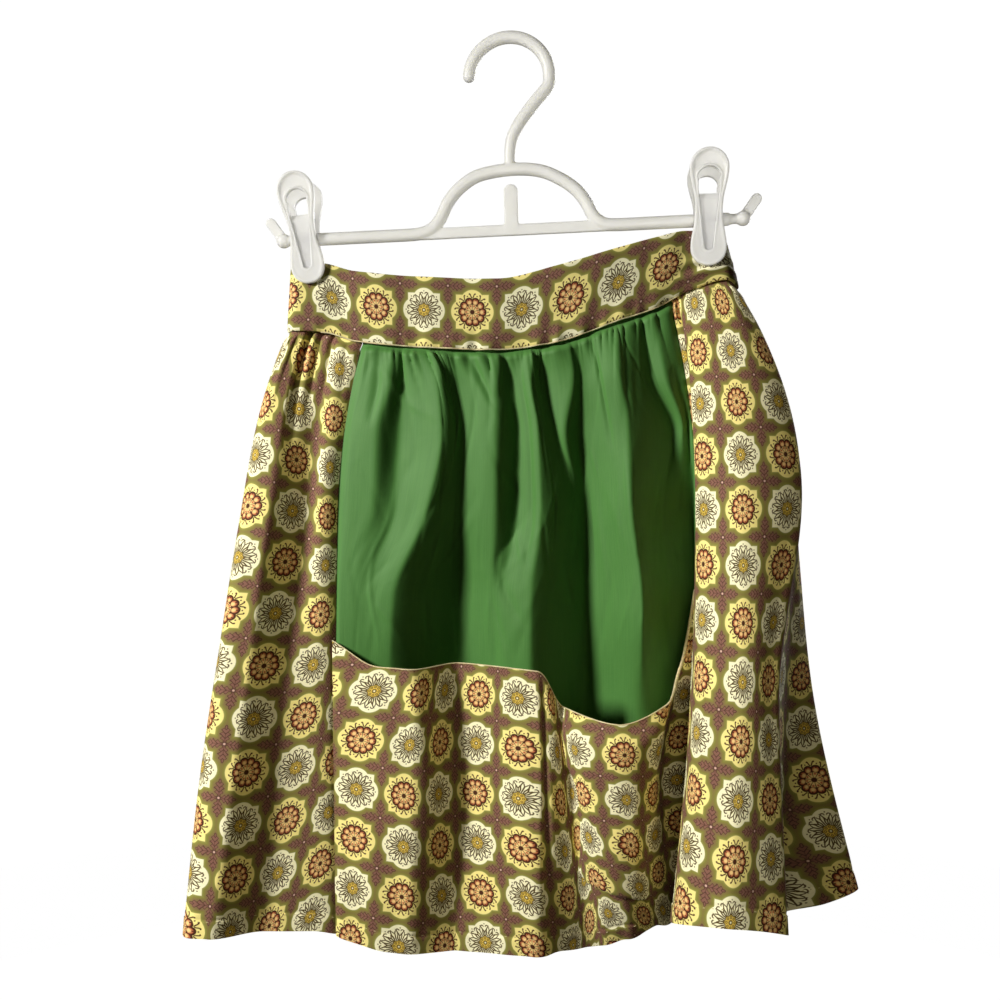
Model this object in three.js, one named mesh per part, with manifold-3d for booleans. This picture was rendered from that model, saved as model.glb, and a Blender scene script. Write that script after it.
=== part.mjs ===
// Half waist apron hung by its waistband from a moulded clip hanger.
// Millimetres, +Z up. The apron faces -Y, and the origin is where the hook rests on its support.
import * as THREE from "three";
import { mergeVertices } from "three/addons/utils/BufferGeometryUtils.js";
import Module from "manifold-3d";

const wasm = await Module();
wasm.setup();

// Driving dimensions
const CLOTH_WALL = 1.2;
const BAND_WALL = 2;
const SEAM_GAP = 0.6;
const CORNER_GAP = 1.4;
const POCKET_GAP = 2.3;
const SKIRT_ROWS = 12;
const POCKET_ROWS = 8;
const BAND_ROWS = 3;
const BAND_STEPS = 3;
const PANEL_STEPS = 5;
const CENTRE_STEPS = 7;
const POCKET_STEPS = 5;

const WAIST_FLARE = 1.9;
const GATHER_PITCH = 28;
const GATHER_HEIGHT = 2.4;
const GATHER_REACH = 0.16;

const ROD_RADIUS = 3.4;
const BAR_RADIUS = 3.75;
const BAR_DROP = 117;
const BAR_TILT = 1.3;
const BAR_LEFT = -149;
const BAR_RIGHT = 139;
const HOOK_RADIUS = 26;
const HOOK_CENTRE = new THREE.Vector2(-1, ROD_RADIUS - HOOK_RADIUS);
const ARCH_TOP = -79;
const ROD_SIDES = 12;

const JAW_WALL = 3.4;
const JAW_RISE = 40.8;
const JAW_DROP = 28.5;
const JAW_LOOP_RADIUS = 11.8;
const JAW_WAIST = 8.2;
const JAW_PAD = 10.8;
const BACK_PAD_SHARE = 0.5;
const JAW_HOLE_RADIUS = 6.6;
const JAW_HOLE_RISE = 23.2;
const JAW_RECESS = 1.1;
const JAW_CLEARANCE = 0.35;

// Heights of the sections between the waist seam (0) and the hem (1)
const LEVELS = [0, 1 / 3, 2 / 3, 1];
const POCKET_LEVELS = [0, 0.45, 1];

// A table's rows as objects with the named columns.
function table(columns, rows) {
  const names = columns.split(" ");
  return rows.map((row) =>
    Object.fromEntries(names.map((name, i) => [name, row[i]])),
  );
}

// The waistband's stations along the wearer's waist, seen from the wearer's front.
const BAND = table("place xTop zTop xLow zLow y", [
  ["left_end", -92, -138, -94, -182, 17],
  ["left_back", -130, -136, -133, -179, 13],
  ["left_turn", -142.5, -135, -145.5, -178, 6],
  ["left_clip", -135.5, -134, -138.5, -178, -1.2],
  ["left_grip", -119, -135.5, -118, -179.5, -1.2],
  ["left_front", -100, -141, -98, -185.5, -4],
  ["left_quarter", -60, -146, -60, -190, -7],
  ["middle", -8, -149, -8, -193, -9],
  ["right_dip", 27, -142, 25, -189.5, -9],
  ["right_quarter", 70, -130, 66, -176, -7],
  ["right_front", 90, -124.5, 88, -168.5, -4],
  ["right_grip", 108, -120.5, 106, -159, -1.2],
  ["right_clip", 125.5, -121, 131.5, -151.5, -1.2],
  ["right_turn", 130.5, -124, 139.5, -155.5, 6],
  ["right_back", 120, -126, 127, -157, 13],
  ["right_end", 88, -124, 90, -162, 17],
]);

// The skirt's ridges, valleys and seams, from the left back edge round the front to the right one.
// cloth is measured across the flat cloth, waist along the band, and x and y at three levels.
const LEFT_PANEL = table(
  "fold cloth waist xUpper yUpper xLower yLower xHem yHem zHem",
  [
    ["left_end", -254, -188, -106, 32, -118, 40, -126, 44, -546],
    ["left_back", -192, -160, -150, 28, -172, 34, -184, 36, -548],
    ["left_turn", -142, -137, -171.5, -12, -188, -24, -200, -30, -552],
    ["left_ridge", -86, -130, -157, -22, -174, -36, -180, -44, -550],
    ["left_valley", -50, -120, -140, -6, -154, -12, -138, -8, -551],
    ["left_rise", -18, -103, -118, -15, -127, -23, -120, -15, -551],
    ["left_seam", 0, -87, -110, -8, -109, -14, -106, -18, -554],
  ],
);

const RIGHT_PANEL = table(
  "fold cloth waist xUpper yUpper xLower yLower xHem yHem zHem",
  [
    ["right_seam", 0, 107, 114, -4, 112, 2, 102, 8, -545],
    ["right_flank", 40, 112, 112, -27, 107, -50, 96, -54, -524],
    ["right_crest", 82, 134, 135, -47, 132, -76, 124, -89, -512],
    ["right_edge", 124, 141, 167, -22, 157, -55, 155, -60, -519],
    ["right_valley", 156, 144, 170.5, -5, 161, -18, 159, -18, -532],
    ["right_outer", 188, 146, 173.5, 8, 177, 6, 189, 6, -533],
    ["right_turn", 212, 149, 174, 18, 186.5, 17, 213, 20, -527],
    ["right_back", 252, 168, 150, 34, 164, 42, 184, 48, -534],
    ["right_end", 300, 198, 104, 36, 116, 48, 132, 56, -536],
  ],
);

// The centre panel shares its hem with the pocket, so its rows end above it.
const CENTRE_PANEL = table("fold cloth waist xUpper yUpper xLower yLower", [
  ["left_seam", 0, -86.5, -110, -8, -109, -14],
  ["first_ridge", 50, -71, -66, -20, -76, -8],
  ["first_valley", 98, -36, -32, 12, -33, 14],
  ["second_ridge", 150, 0, -5, -20, 12, -8],
  ["second_valley", 206, 35, 47, 14, 47, 17],
  ["third_ridge", 254, 69, 73, -16, 79, -4],
  ["third_fall", 290, 91, 96, -5, 98, 3],
  ["right_seam", 325, 107, 114, -4, 112, 2],
]);

const POCKET = table(
  "fold cloth xMouth yMouth zMouth xMiddle yMiddle xHem yHem zHem",
  [
    ["left_seam", 0, -109.6, -14, -367, -107.8, -16, -105, -20, -554],
    ["first_ridge", 50, -67, -36, -388, -60, -38, -74, -30, -563],
    ["first_valley", 98, -32, -11, -386, -30, -8, -35, -14, -564],
    ["second_ridge", 150, 18, -36, -387, 20, -38, 14, -28, -562],
    ["second_valley", 206, 33, -3, -409, 39, 2, 47, -3, -559],
    ["sag", 254, 67, -49, -415, 68, -46, 72, -18, -549],
    ["rise", 290, 98, -29, -398, 94, -28, 90, -8, -543],
    ["right_seam", 325, 109.6, -6, -341, 107.2, -5, 99, 3, -544],
  ],
);

// A smooth curve through values at knots that never overshoots them.
// flare sets how much steeper than its first stretch the curve starts.
function through(knots, values, flare) {
  const last = knots.length - 1;
  const slopes = knots
    .slice(1)
    .map((k, i) => (values[i + 1] - values[i]) / (k - knots[i]));
  const tangents = knots.map((_, i) => {
    const [before, after] = [slopes[i - 1] ?? 0, slopes[i] ?? 0];
    return before * after <= 0 ? 0 : (2 * before * after) / (before + after);
  });
  tangents[0] = flare ? flare * slopes[0] : 1.5 * slopes[0] - 0.5 * tangents[1];
  tangents[last] = 1.5 * slopes[last - 1] - 0.5 * tangents[last - 1];
  return (at) => {
    let i = 0;
    while (i < last - 1 && at > knots[i + 1]) i++;
    const width = knots[i + 1] - knots[i];
    const f = (at - knots[i]) / width;
    const [f2, f3] = [f * f, f * f * f];
    return (
      (2 * f3 - 3 * f2 + 1) * values[i] +
      (f3 - 2 * f2 + f) * width * tangents[i] +
      (3 * f2 - 2 * f3) * values[i + 1] +
      (f3 - f2) * width * tangents[i + 1]
    );
  };
}

// The same for points in space.
function curveThrough(knots, points) {
  const x = through(knots, points.map((point) => point.x));
  const y = through(knots, points.map((point) => point.y));
  const z = through(knots, points.map((point) => point.z));
  return (at) => new THREE.Vector3(x(at), y(at), z(at));
}

// Distances along the band, seen from above, from its middle station.
function bandDistances() {
  const along = [0];
  for (let i = 1; i < BAND.length; i++) {
    const dx = BAND[i].xLow - BAND[i - 1].xLow;
    along.push(along[i - 1] + Math.hypot(dx, BAND[i].y - BAND[i - 1].y));
  }
  const middle = BAND.findIndex((row) => row.place === "middle");
  return along.map((a) => a - along[middle]);
}

const BAND_AT = bandDistances();
const bandTop = curveThrough(
  BAND_AT,
  BAND.map((row) => new THREE.Vector3(row.xTop, row.y, row.zTop)),
);
const waistPoint = curveThrough(
  BAND_AT,
  BAND.map((row) => new THREE.Vector3(row.xLow, row.y, row.zLow)),
);

// A rib is the line that one fold follows from the waist to the hem.
function skirtRib(row) {
  const start = waistPoint(row.waist);
  const x = through(LEVELS, [start.x, row.xUpper, row.xLower, row.xHem], WAIST_FLARE);
  const y = through(LEVELS, [start.y, row.yUpper, row.yLower, row.yHem], WAIST_FLARE);
  return (t) =>
    new THREE.Vector3(x(t), y(t), THREE.MathUtils.lerp(start.z, row.zHem, t));
}

function pocketRib(row) {
  const x = through(POCKET_LEVELS, [row.xMouth, row.xMiddle, row.xHem]);
  const y = through(POCKET_LEVELS, [row.yMouth, row.yMiddle, row.yHem]);
  return (t) =>
    new THREE.Vector3(x(t), y(t), THREE.MathUtils.lerp(row.zMouth, row.zHem, t));
}

// A grid of points on the cloth's middle, rows from top to hem, steps columns in each fold.
function clothGrid(rows, ribs, rowCount, steps, ease) {
  const knots = rows.map((row) => row.cloth);
  const across = [];
  for (let i = 0; i + 1 < knots.length; i++)
    for (let k = 0; k < steps; k++)
      across.push(THREE.MathUtils.lerp(knots[i], knots[i + 1], k / steps));
  across.push(knots[knots.length - 1]);
  const grid = [];
  for (let r = 0; r <= rowCount; r++) {
    const t = r / rowCount;
    const section = curveThrough(knots, ribs.map((rib) => rib(t)));
    grid.push(across.map((c) => section(c).add(ease(c, t))));
  }
  return grid;
}

// Draws the top of a skirt panel onto the band's lower edge between its folds.
function waistEase(rows, ribs) {
  const knots = rows.map((row) => row.cloth);
  const waist = through(knots, rows.map((row) => row.waist));
  const top = curveThrough(knots, ribs.map((rib) => rib(0)));
  return (cloth, t) =>
    waistPoint(waist(cloth)).sub(top(cloth)).multiplyScalar((1 - t) ** 4);
}

// Small gathers under the waist seam, which die out downwards and at the panel's own edges.
function gathers(rows) {
  const first = rows[0].cloth;
  const wide = rows[rows.length - 1].cloth - first;
  return (cloth, t) => {
    const edge = Math.sin((Math.PI * (cloth - first)) / wide) ** 0.5;
    const fade = Math.exp(-t / GATHER_REACH);
    const wave = Math.sin((2 * Math.PI * cloth) / GATHER_PITCH);
    return new THREE.Vector3(0, edge ? GATHER_HEIGHT * edge * fade * wave : 0, 0);
  };
}

const flat = () => new THREE.Vector3();

// Moves the rim of a grid inwards, so that sewn neighbours keep their gap.
function inset(grid, { top = 0, left = 0, right = 0 }) {
  const pull = (point, towards, by) =>
    point.add(towards.clone().sub(point).setLength(by));
  const wide = grid[0].length;
  for (const row of grid) {
    if (left) pull(row[0], row[1], left);
    if (right) pull(row[wide - 1], row[wide - 2], right);
  }
  if (top) for (let c = 0; c < wide; c++) pull(grid[0][c], grid[1][c], top);
}

// A closed wall of even thickness around a grid of points.
function wallGeometry(grid, wall) {
  const [tall, wide] = [grid.length, grid[0].length];
  const clamp = THREE.MathUtils.clamp;
  const normal = (r, c) => {
    const pick = (rr, cc) =>
      grid[clamp(rr, 0, tall - 1)][clamp(cc, 0, wide - 1)];
    const across = pick(r, c + 1).clone().sub(pick(r, c - 1));
    const down = pick(r + 1, c).clone().sub(pick(r - 1, c));
    return across.cross(down).normalize();
  };
  const positions = [];
  for (const side of [wall / 2, -wall / 2])
    for (let r = 0; r < tall; r++)
      for (let c = 0; c < wide; c++)
        positions.push(
          ...grid[r][c].clone().addScaledVector(normal(r, c), side).toArray(),
        );
  const size = tall * wide;
  const index = [];
  const quad = (a, b, c, d) => index.push(a, b, c, a, c, d);
  for (let r = 0; r + 1 < tall; r++)
    for (let c = 0; c + 1 < wide; c++) {
      const a = r * wide + c;
      quad(a, a + 1, a + wide + 1, a + wide);
      quad(size + a, size + a + wide, size + a + wide + 1, size + a + 1);
    }
  const rim = [];
  for (let c = 0; c < wide; c++) rim.push(c);
  for (let r = 1; r < tall; r++) rim.push(r * wide + wide - 1);
  for (let c = wide - 2; c >= 0; c--) rim.push((tall - 1) * wide + c);
  for (let r = tall - 2; r > 0; r--) rim.push(r * wide);
  rim.forEach((a, i) => {
    const b = rim[(i + 1) % rim.length];
    quad(b, a, size + a, size + b);
  });
  return new THREE.BufferGeometry()
    .setAttribute("position", new THREE.Float32BufferAttribute(positions, 3))
    .setIndex(index);
}

// Joining and cutting closed meshes
function solid(geometry) {
  const bare = geometry.clone();
  bare.deleteAttribute("normal");
  bare.deleteAttribute("uv");
  const merged = mergeVertices(bare, 1e-3);
  return new wasm.Manifold(
    new wasm.Mesh({
      numProp: 3,
      vertProperties: merged.attributes.position.array,
      triVerts: new Uint32Array(merged.index.array),
    }),
  );
}

function geometryOf(body) {
  const mesh = body.getMesh();
  return new THREE.BufferGeometry()
    .setAttribute(
      "position",
      new THREE.Float32BufferAttribute(mesh.vertProperties, 3),
    )
    .setIndex(new THREE.BufferAttribute(mesh.triVerts, 1));
}

// Materials
const cloth = (color) =>
  new THREE.MeshStandardMaterial({ color, roughness: 0.85, metalness: 0 });
const printed = () => cloth("#a8965a");
const green = () => cloth("#2f6b35");
const plastic = () =>
  new THREE.MeshStandardMaterial({
    color: "#f2f2ef",
    roughness: 0.35,
    metalness: 0,
  });

function mesh(name, geometry, material) {
  const made = new THREE.Mesh(geometry, material);
  made.name = name;
  return made;
}

// The waistband, a doubled strip whose ends turn back behind the clips
function waistband() {
  const across = [];
  for (let i = 0; i + 1 < BAND_AT.length; i++)
    for (let k = 0; k < BAND_STEPS; k++)
      across.push(THREE.MathUtils.lerp(BAND_AT[i], BAND_AT[i + 1], k / BAND_STEPS));
  across.push(BAND_AT[BAND_AT.length - 1]);
  const grid = [];
  for (let r = 0; r <= BAND_ROWS; r++) {
    const t = r / BAND_ROWS;
    grid.push(
      across.map((at) => bandTop(at).lerp(waistPoint(at), t)),
    );
  }
  return mesh("waistband", wallGeometry(grid, BAND_WALL), printed());
}

function sidePanel(name, rows, edges) {
  const ribs = rows.map(skirtRib);
  const grid = clothGrid(rows, ribs, SKIRT_ROWS, PANEL_STEPS, waistEase(rows, ribs));
  inset(grid, { top: SEAM_GAP, ...edges });
  return mesh(name, wallGeometry(grid, CLOTH_WALL), printed());
}

function centrePanel() {
  const rows = CENTRE_PANEL.map((row, i) => ({
    ...row,
    xHem: POCKET[i].xHem,
    yHem: POCKET[i].yHem + POCKET_GAP,
    zHem: POCKET[i].zHem,
  }));
  const ribs = rows.map(skirtRib);
  const [seat, gather] = [waistEase(rows, ribs), gathers(rows)];
  const ease = (c, t) => seat(c, t).add(gather(c, t));
  const grid = clothGrid(rows, ribs, SKIRT_ROWS, CENTRE_STEPS, ease);
  inset(grid, { top: SEAM_GAP, left: SEAM_GAP, right: CORNER_GAP });
  return mesh("centre_panel", wallGeometry(grid, CLOTH_WALL), green());
}

function pocket() {
  const ribs = POCKET.map(pocketRib);
  const grid = clothGrid(POCKET, ribs, POCKET_ROWS, POCKET_STEPS, flat);
  return mesh("pocket", wallGeometry(grid, CLOTH_WALL), printed());
}

// The hanger
function rod(curve, steps, radius) {
  const section = new THREE.Shape().absarc(0, 0, radius, 0, 2 * Math.PI);
  return solid(
    new THREE.ExtrudeGeometry(section, {
      extrudePath: curve,
      steps,
      curveSegments: ROD_SIDES / 2,
    }),
  );
}

const inPlane = (x, z) => new THREE.Vector3(x, 0, z);

// Question-mark hook: an arc over the support, then an S down to the top of the arch.
function hookCurve() {
  const points = [];
  const [fromAngle, toAngle] = [Math.PI * 1.02, -Math.PI / 12];
  const arcSteps = 16;
  for (let i = 0; i <= arcSteps; i++) {
    const angle = THREE.MathUtils.lerp(fromAngle, toAngle, i / arcSteps);
    points.push(
      inPlane(
        HOOK_CENTRE.x + HOOK_RADIUS * Math.cos(angle),
        HOOK_CENTRE.y + HOOK_RADIUS * Math.sin(angle),
      ),
    );
  }
  points.push(inPlane(17, -36), inPlane(8, -46), inPlane(1, -57));
  points.push(inPlane(0, -68), inPlane(0, ARCH_TOP));
  return new THREE.CatmullRomCurve3(points);
}

// Bell-shaped arch that carries the bar.
function archCurve() {
  const half = [
    [62, 1 - BAR_DROP],
    [53, 4 - BAR_DROP],
    [42, 16.5 - BAR_DROP],
    [24, 33 - BAR_DROP],
  ];
  const left = half.map(([x, z]) => inPlane(-x, z));
  const right = half.map(([x, z]) => inPlane(x, z)).reverse();
  return new THREE.CatmullRomCurve3([...left, inPlane(0, ARCH_TOP), ...right]);
}

// Flat peg with a round top, standing on the bar inside the arch.
function archPeg() {
  const [half, top, wall] = [4, 27.5 - BAR_DROP, 3.6];
  const outline = new THREE.Shape();
  outline.moveTo(-half, -BAR_DROP);
  outline.lineTo(half, -BAR_DROP);
  outline.lineTo(half, top - half);
  outline.absarc(0, top - half, half, 0, Math.PI);
  return solid(
    new THREE.ExtrudeGeometry(outline, {
      depth: wall,
      bevelEnabled: false,
      curveSegments: 6,
    })
      .rotateX(Math.PI / 2)
      .translate(0, wall / 2, 0),
  );
}

// Ball and upturned horn at an end of the bar, which keep the clip from sliding off.
function barEnd(x, outward) {
  const [ballRadius, hornLength, hornWidth, hornWall, hornLean] = [4.6, 18, 7, 2.6, 0.62];
  const ball = new THREE.SphereGeometry(ballRadius, 14, 9).translate(x, 0, -BAR_DROP);
  const horn = new THREE.BoxGeometry(hornWall, hornWidth, hornLength)
    .translate(0, 0, hornLength / 2)
    .rotateY(outward * hornLean)
    .translate(x, 1.5, -BAR_DROP);
  return solid(ball).add(solid(horn));
}

function hangerFrame() {
  const bar = new THREE.CylinderGeometry(
    BAR_RADIUS,
    BAR_RADIUS,
    BAR_RIGHT - BAR_LEFT,
    ROD_SIDES,
  )
    .rotateZ(Math.PI / 2)
    .translate((BAR_LEFT + BAR_RIGHT) / 2, 0, -BAR_DROP);
  const tip = new THREE.SphereGeometry(ROD_RADIUS * 1.12, 12, 8).translate(
    HOOK_CENTRE.x + HOOK_RADIUS * Math.cos(Math.PI * 1.02),
    0,
    HOOK_CENTRE.y + HOOK_RADIUS * Math.sin(Math.PI * 1.02),
  );
  const body = rod(hookCurve(), 32, ROD_RADIUS)
    .add(solid(tip))
    .add(rod(archCurve(), 20, ROD_RADIUS))
    .add(solid(bar))
    .add(archPeg())
    .add(barEnd(BAR_LEFT, -1))
    .add(barEnd(BAR_RIGHT, 1));
  return mesh("hanger_frame", geometryOf(body), plastic());
}

// One jaw of a clip, drawn upright with its pivot at the origin and its outer face towards -Y.
function jawOutline() {
  const loop = JAW_RISE - JAW_LOOP_RADIUS;
  const pad = JAW_PAD - JAW_DROP;
  const outline = new THREE.Shape();
  outline.moveTo(0, -JAW_DROP);
  outline.bezierCurveTo(6.5, -JAW_DROP, JAW_PAD, pad - 6, JAW_PAD, pad);
  outline.bezierCurveTo(JAW_PAD, pad + 9, JAW_WAIST, -6, JAW_WAIST, 5);
  outline.bezierCurveTo(JAW_WAIST, 15, JAW_LOOP_RADIUS, loop - 9, JAW_LOOP_RADIUS, loop);
  outline.absarc(0, loop, JAW_LOOP_RADIUS, 0, Math.PI);
  outline.bezierCurveTo(-JAW_LOOP_RADIUS, loop - 9, -JAW_WAIST, 15, -JAW_WAIST, 5);
  outline.bezierCurveTo(-JAW_WAIST, -6, -JAW_PAD, pad + 9, -JAW_PAD, pad);
  outline.bezierCurveTo(-JAW_PAD, pad - 6, -6.5, -JAW_DROP, 0, -JAW_DROP);
  const hole = new THREE.Path().absarc(0, JAW_HOLE_RISE, JAW_HOLE_RADIUS, 0, 2 * Math.PI);
  outline.holes.push(hole);
  return outline;
}

function wedgeOutline() {
  const outline = new THREE.Shape();
  outline.moveTo(-2.2, -17);
  outline.lineTo(2.2, -17);
  outline.lineTo(5, 14);
  outline.lineTo(-5, 14);
  return outline;
}

const upright = (outline, depth) =>
  new THREE.ExtrudeGeometry(outline, {
    depth,
    bevelEnabled: false,
    curveSegments: 7,
  }).rotateX(Math.PI / 2);

// How far the jaw's inner face stands from the bar's middle plane at a height above the bar.
const jawReach = through(
  [-JAW_DROP, -14, 0, JAW_RISE],
  [2.6, 2.6, BAR_RADIUS + JAW_CLEARANCE, 10.5],
);

function jawGeometry(frontwards, padReach, padShare) {
  const plate = solid(upright(jawOutline(), JAW_WALL));
  const recess = solid(
    upright(wedgeOutline(), JAW_RECESS * 2).translate(0, JAW_RECESS - JAW_WALL, 0),
  );
  const made = geometryOf(plate.subtract(recess));
  const at = made.getAttribute("position");
  for (let i = 0; i < at.count; i++) {
    const z = at.getZ(i);
    const nearPad = THREE.MathUtils.smoothstep(-z, -2, 14);
    const inner = jawReach(z) - padReach * nearPad;
    at.setY(i, at.getY(i) - inner);
    at.setX(i, at.getX(i) * THREE.MathUtils.lerp(1, padShare, nearPad));
  }
  if (!frontwards) {
    made.scale(1, -1, 1);
    const turned = made.index.array;
    for (let i = 0; i < turned.length; i += 3)
      [turned[i + 1], turned[i + 2]] = [turned[i + 2], turned[i + 1]];
  }
  return made;
}

// A clip: two jaws that straddle the bar and pinch the band's front layer.
function clip(name, x, lean) {
  const group = new THREE.Group();
  group.position.set(x, 0, -BAR_DROP + x * Math.tan(THREE.MathUtils.degToRad(BAR_TILT)));
  group.rotation.y = -THREE.MathUtils.degToRad(lean);
  const backPadReach = 2.4;
  group.add(
    mesh(`${name}_front_jaw`, jawGeometry(true, 0, 1), plastic()),
    mesh(`${name}_back_jaw`, jawGeometry(false, backPadReach, BACK_PAD_SHARE), plastic()),
  );
  return group;
}

const hanger = new THREE.Group();
hanger.rotation.y = -THREE.MathUtils.degToRad(BAR_TILT);
hanger.add(hangerFrame());

const apron = new THREE.Group();
apron.add(
  waistband(),
  sidePanel("left_side_panel", LEFT_PANEL, { right: SEAM_GAP }),
  centrePanel(),
  pocket(),
  sidePanel("right_side_panel", RIGHT_PANEL, { left: SEAM_GAP }),
);

const part = new THREE.Group();
part.add(hanger, clip("clip_left", -131.8, 8), clip("clip_right", 120.5, 0), apron);

export default part;
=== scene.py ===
"""Half waist apron hung from a clip hanger: cloth, plastic, studio and camera."""
import math

import bmesh
import bpy
import numpy as np
from mathutils import Matrix, Vector


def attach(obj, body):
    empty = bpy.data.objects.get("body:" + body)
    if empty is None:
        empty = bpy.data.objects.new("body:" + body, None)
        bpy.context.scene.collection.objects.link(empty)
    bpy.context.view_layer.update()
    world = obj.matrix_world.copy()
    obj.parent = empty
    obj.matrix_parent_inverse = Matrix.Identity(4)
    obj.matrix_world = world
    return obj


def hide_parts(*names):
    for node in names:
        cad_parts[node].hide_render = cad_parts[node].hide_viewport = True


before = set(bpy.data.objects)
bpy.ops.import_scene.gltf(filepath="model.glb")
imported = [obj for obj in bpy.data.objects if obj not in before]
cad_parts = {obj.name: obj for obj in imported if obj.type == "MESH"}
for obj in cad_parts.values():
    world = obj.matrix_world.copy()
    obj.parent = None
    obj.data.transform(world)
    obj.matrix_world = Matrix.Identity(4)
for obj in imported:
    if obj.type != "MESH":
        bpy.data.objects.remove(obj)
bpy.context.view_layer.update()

# Lengths in millimetres, as in the solids
MM = 0.001
CLOTH_WALL = 0.7
BAND_WALL = 2.4
BAND_DEPTH = 44
SKIRT_LENGTH = 375
CENTRE_WIDTH = 325
POCKET_GAP = 2.3
HEM_DEPTH = 11
STITCHES_UP = 10.2
BAG_DEPTH = 7

# The print's repeat, its columns' distance on the band and the threads in one repeat
PITCH = 31.6
BAND_PITCH = 30.6
THREADS = 70

# Levels of the ribs' sections, 0 at the top and 1 at the hem, and how steeply the skirt leaves the band
LEVELS = [0, 1 / 3, 2 / 3, 1]
POCKET_LEVELS = [0, 0.45, 1]
WAIST_FLARE = 1.9

# The hanger and the jaws of its clips, in millimetres and degrees
BAR_DROP = 117
BAR_TILT = 1.3
BAR_RADIUS = 3.75
ROD_RADIUS = 3.4
BAR_LEFT = -149
BAR_RIGHT = 139
HOOK_RADIUS = 25.2
HOOK_CENTRE = (-2.4, ROD_RADIUS - HOOK_RADIUS)
ARCH_TOP = -79
JAW_WALL = 3.4
JAW_RISE = 40.8
JAW_DROP = 28.5
JAW_LOOP_RADIUS = 11.8
JAW_WAIST = 8.2
JAW_PAD = 10.8
BACK_PAD_SHARE = 0.5
BACK_PAD_REACH = 2.4


def table(columns, rows):
    names = columns.split()
    return [dict(zip(names, row)) for row in rows]


def column(rows, *names):
    picked = np.array([[row[name] for name in names] for row in rows], float)
    return picked[:, 0] if len(names) == 1 else picked


# The waistband's stations along the wearer's waist
BAND = table("place xTop zTop xLow zLow y", [
    ("left_end", -92, -138, -94, -182, 17),
    ("left_back", -130, -136, -133, -179, 13),
    ("left_turn", -142.5, -135, -145.5, -178, 6),
    ("left_clip", -135.5, -134, -138.5, -178, -1.2),
    ("left_grip", -119, -135.5, -118, -179.5, -1.2),
    ("left_front", -100, -141, -98, -185.5, -4),
    ("left_quarter", -60, -146, -60, -190, -7),
    ("middle", -8, -149, -8, -193, -9),
    ("right_dip", 27, -142, 25, -189.5, -9),
    ("right_quarter", 70, -130, 66, -176, -7),
    ("right_front", 90, -124.5, 88, -168.5, -4),
    ("right_grip", 108, -120.5, 106, -159, -1.2),
    ("right_clip", 125.5, -121, 131.5, -151.5, -1.2),
    ("right_turn", 130.5, -124, 139.5, -155.5, 6),
    ("right_back", 120, -126, 127, -157, 13),
    ("right_end", 88, -124, 90, -162, 17),
])

# The skirt's folds from the left back edge round the front to the right one.
# p0 to p3 are the print's columns at the four levels, counted in repeats.
SKIRT = "fold cloth waist xUpper yUpper xLower yLower xHem yHem zHem p0 p1 p2 p3"
LEFT_PANEL = table(SKIRT, [
    ("left_end", -254, -188, -106, 32, -118, 40, -126, 44, -546, -3.2, -3.4, -3.9, -4.3),
    ("left_back", -192, -160, -150, 28, -172, 34, -184, 36, -548, -1.6, -1.8, -2.2, -2.5),
    ("left_turn", -142, -137, -171.5, -12, -188, -24, -200, -30, -552, 0.07, -0.33, -0.19, -0.18),
    ("left_ridge", -86, -124, -151, -22, -164, -36, -180, -43, -550, 0.8, 0.42, 0.71, 0.5),
    ("left_valley", -50, -110, -131, -6, -141, -20, -152, -25, -551, 1.5, 1.34, 1.58, 1.83),
    ("left_rise", -18, -98, -119, -12, -121, -17, -122, -22, -551, 2.0, 1.79, 2.3, 3.1),
    ("left_seam", 0, -87, -110, -8, -109, -14, -106, -18, -554, 2.45, 2.33, 2.95, 3.7),
])
RIGHT_PANEL = table(SKIRT, [
    ("right_seam", 0, 107, 114, -4, 112, 2, 102, 8, -545, -2.2, -2.0, -2.8, -3.1),
    ("right_flank", 40, 112, 112, -27, 107, -50, 96, -54, -524, -1.6, -1.3, -1.3, -1.3),
    ("right_crest", 82, 134, 135, -47, 132, -76, 124, -89, -512, 0, 0, 0, 0),
    ("right_edge", 124, 141, 170, -33, 152, -67, 155, -77, -519, 0.9, 1.5, 1.5, 1.45),
    ("right_valley", 156, 144, 171, -5, 162, -18, 159, -18, -532, 1.4, 2.1, 2.4, 1.9),
    ("right_outer", 188, 146, 173.5, 8, 177, 6, 189, 6, -533, 1.8, 2.5, 3.0, 2.42),
    ("right_turn", 212, 149, 174, 18, 186.5, 17, 213, 20, -527, 2.1, 2.8, 3.42, 3.3),
    ("right_back", 252, 168, 150, 34, 164, 42, 184, 48, -534, 3.2, 4.0, 4.5, 4.6),
    ("right_end", 300, 198, 104, 36, 116, 48, 132, 56, -536, 4.6, 5.6, 6.1, 6.2),
])
CENTRE_PANEL = table("fold cloth waist xUpper yUpper xLower yLower", [
    ("left_seam", 0, -86.5, -110, -8, -109, -14),
    ("first_ridge", 50, -71, -66, -20, -76, -8),
    ("first_valley", 98, -36, -32, 12, -33, 14),
    ("second_ridge", 150, 0, -5, -20, 12, -8),
    ("second_valley", 206, 35, 47, 14, 47, 17),
    ("third_ridge", 254, 69, 73, -16, 79, -4),
    ("third_fall", 290, 91, 96, -5, 98, 3),
    ("right_seam", 325, 107, 114, -4, 112, 2),
])
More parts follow.
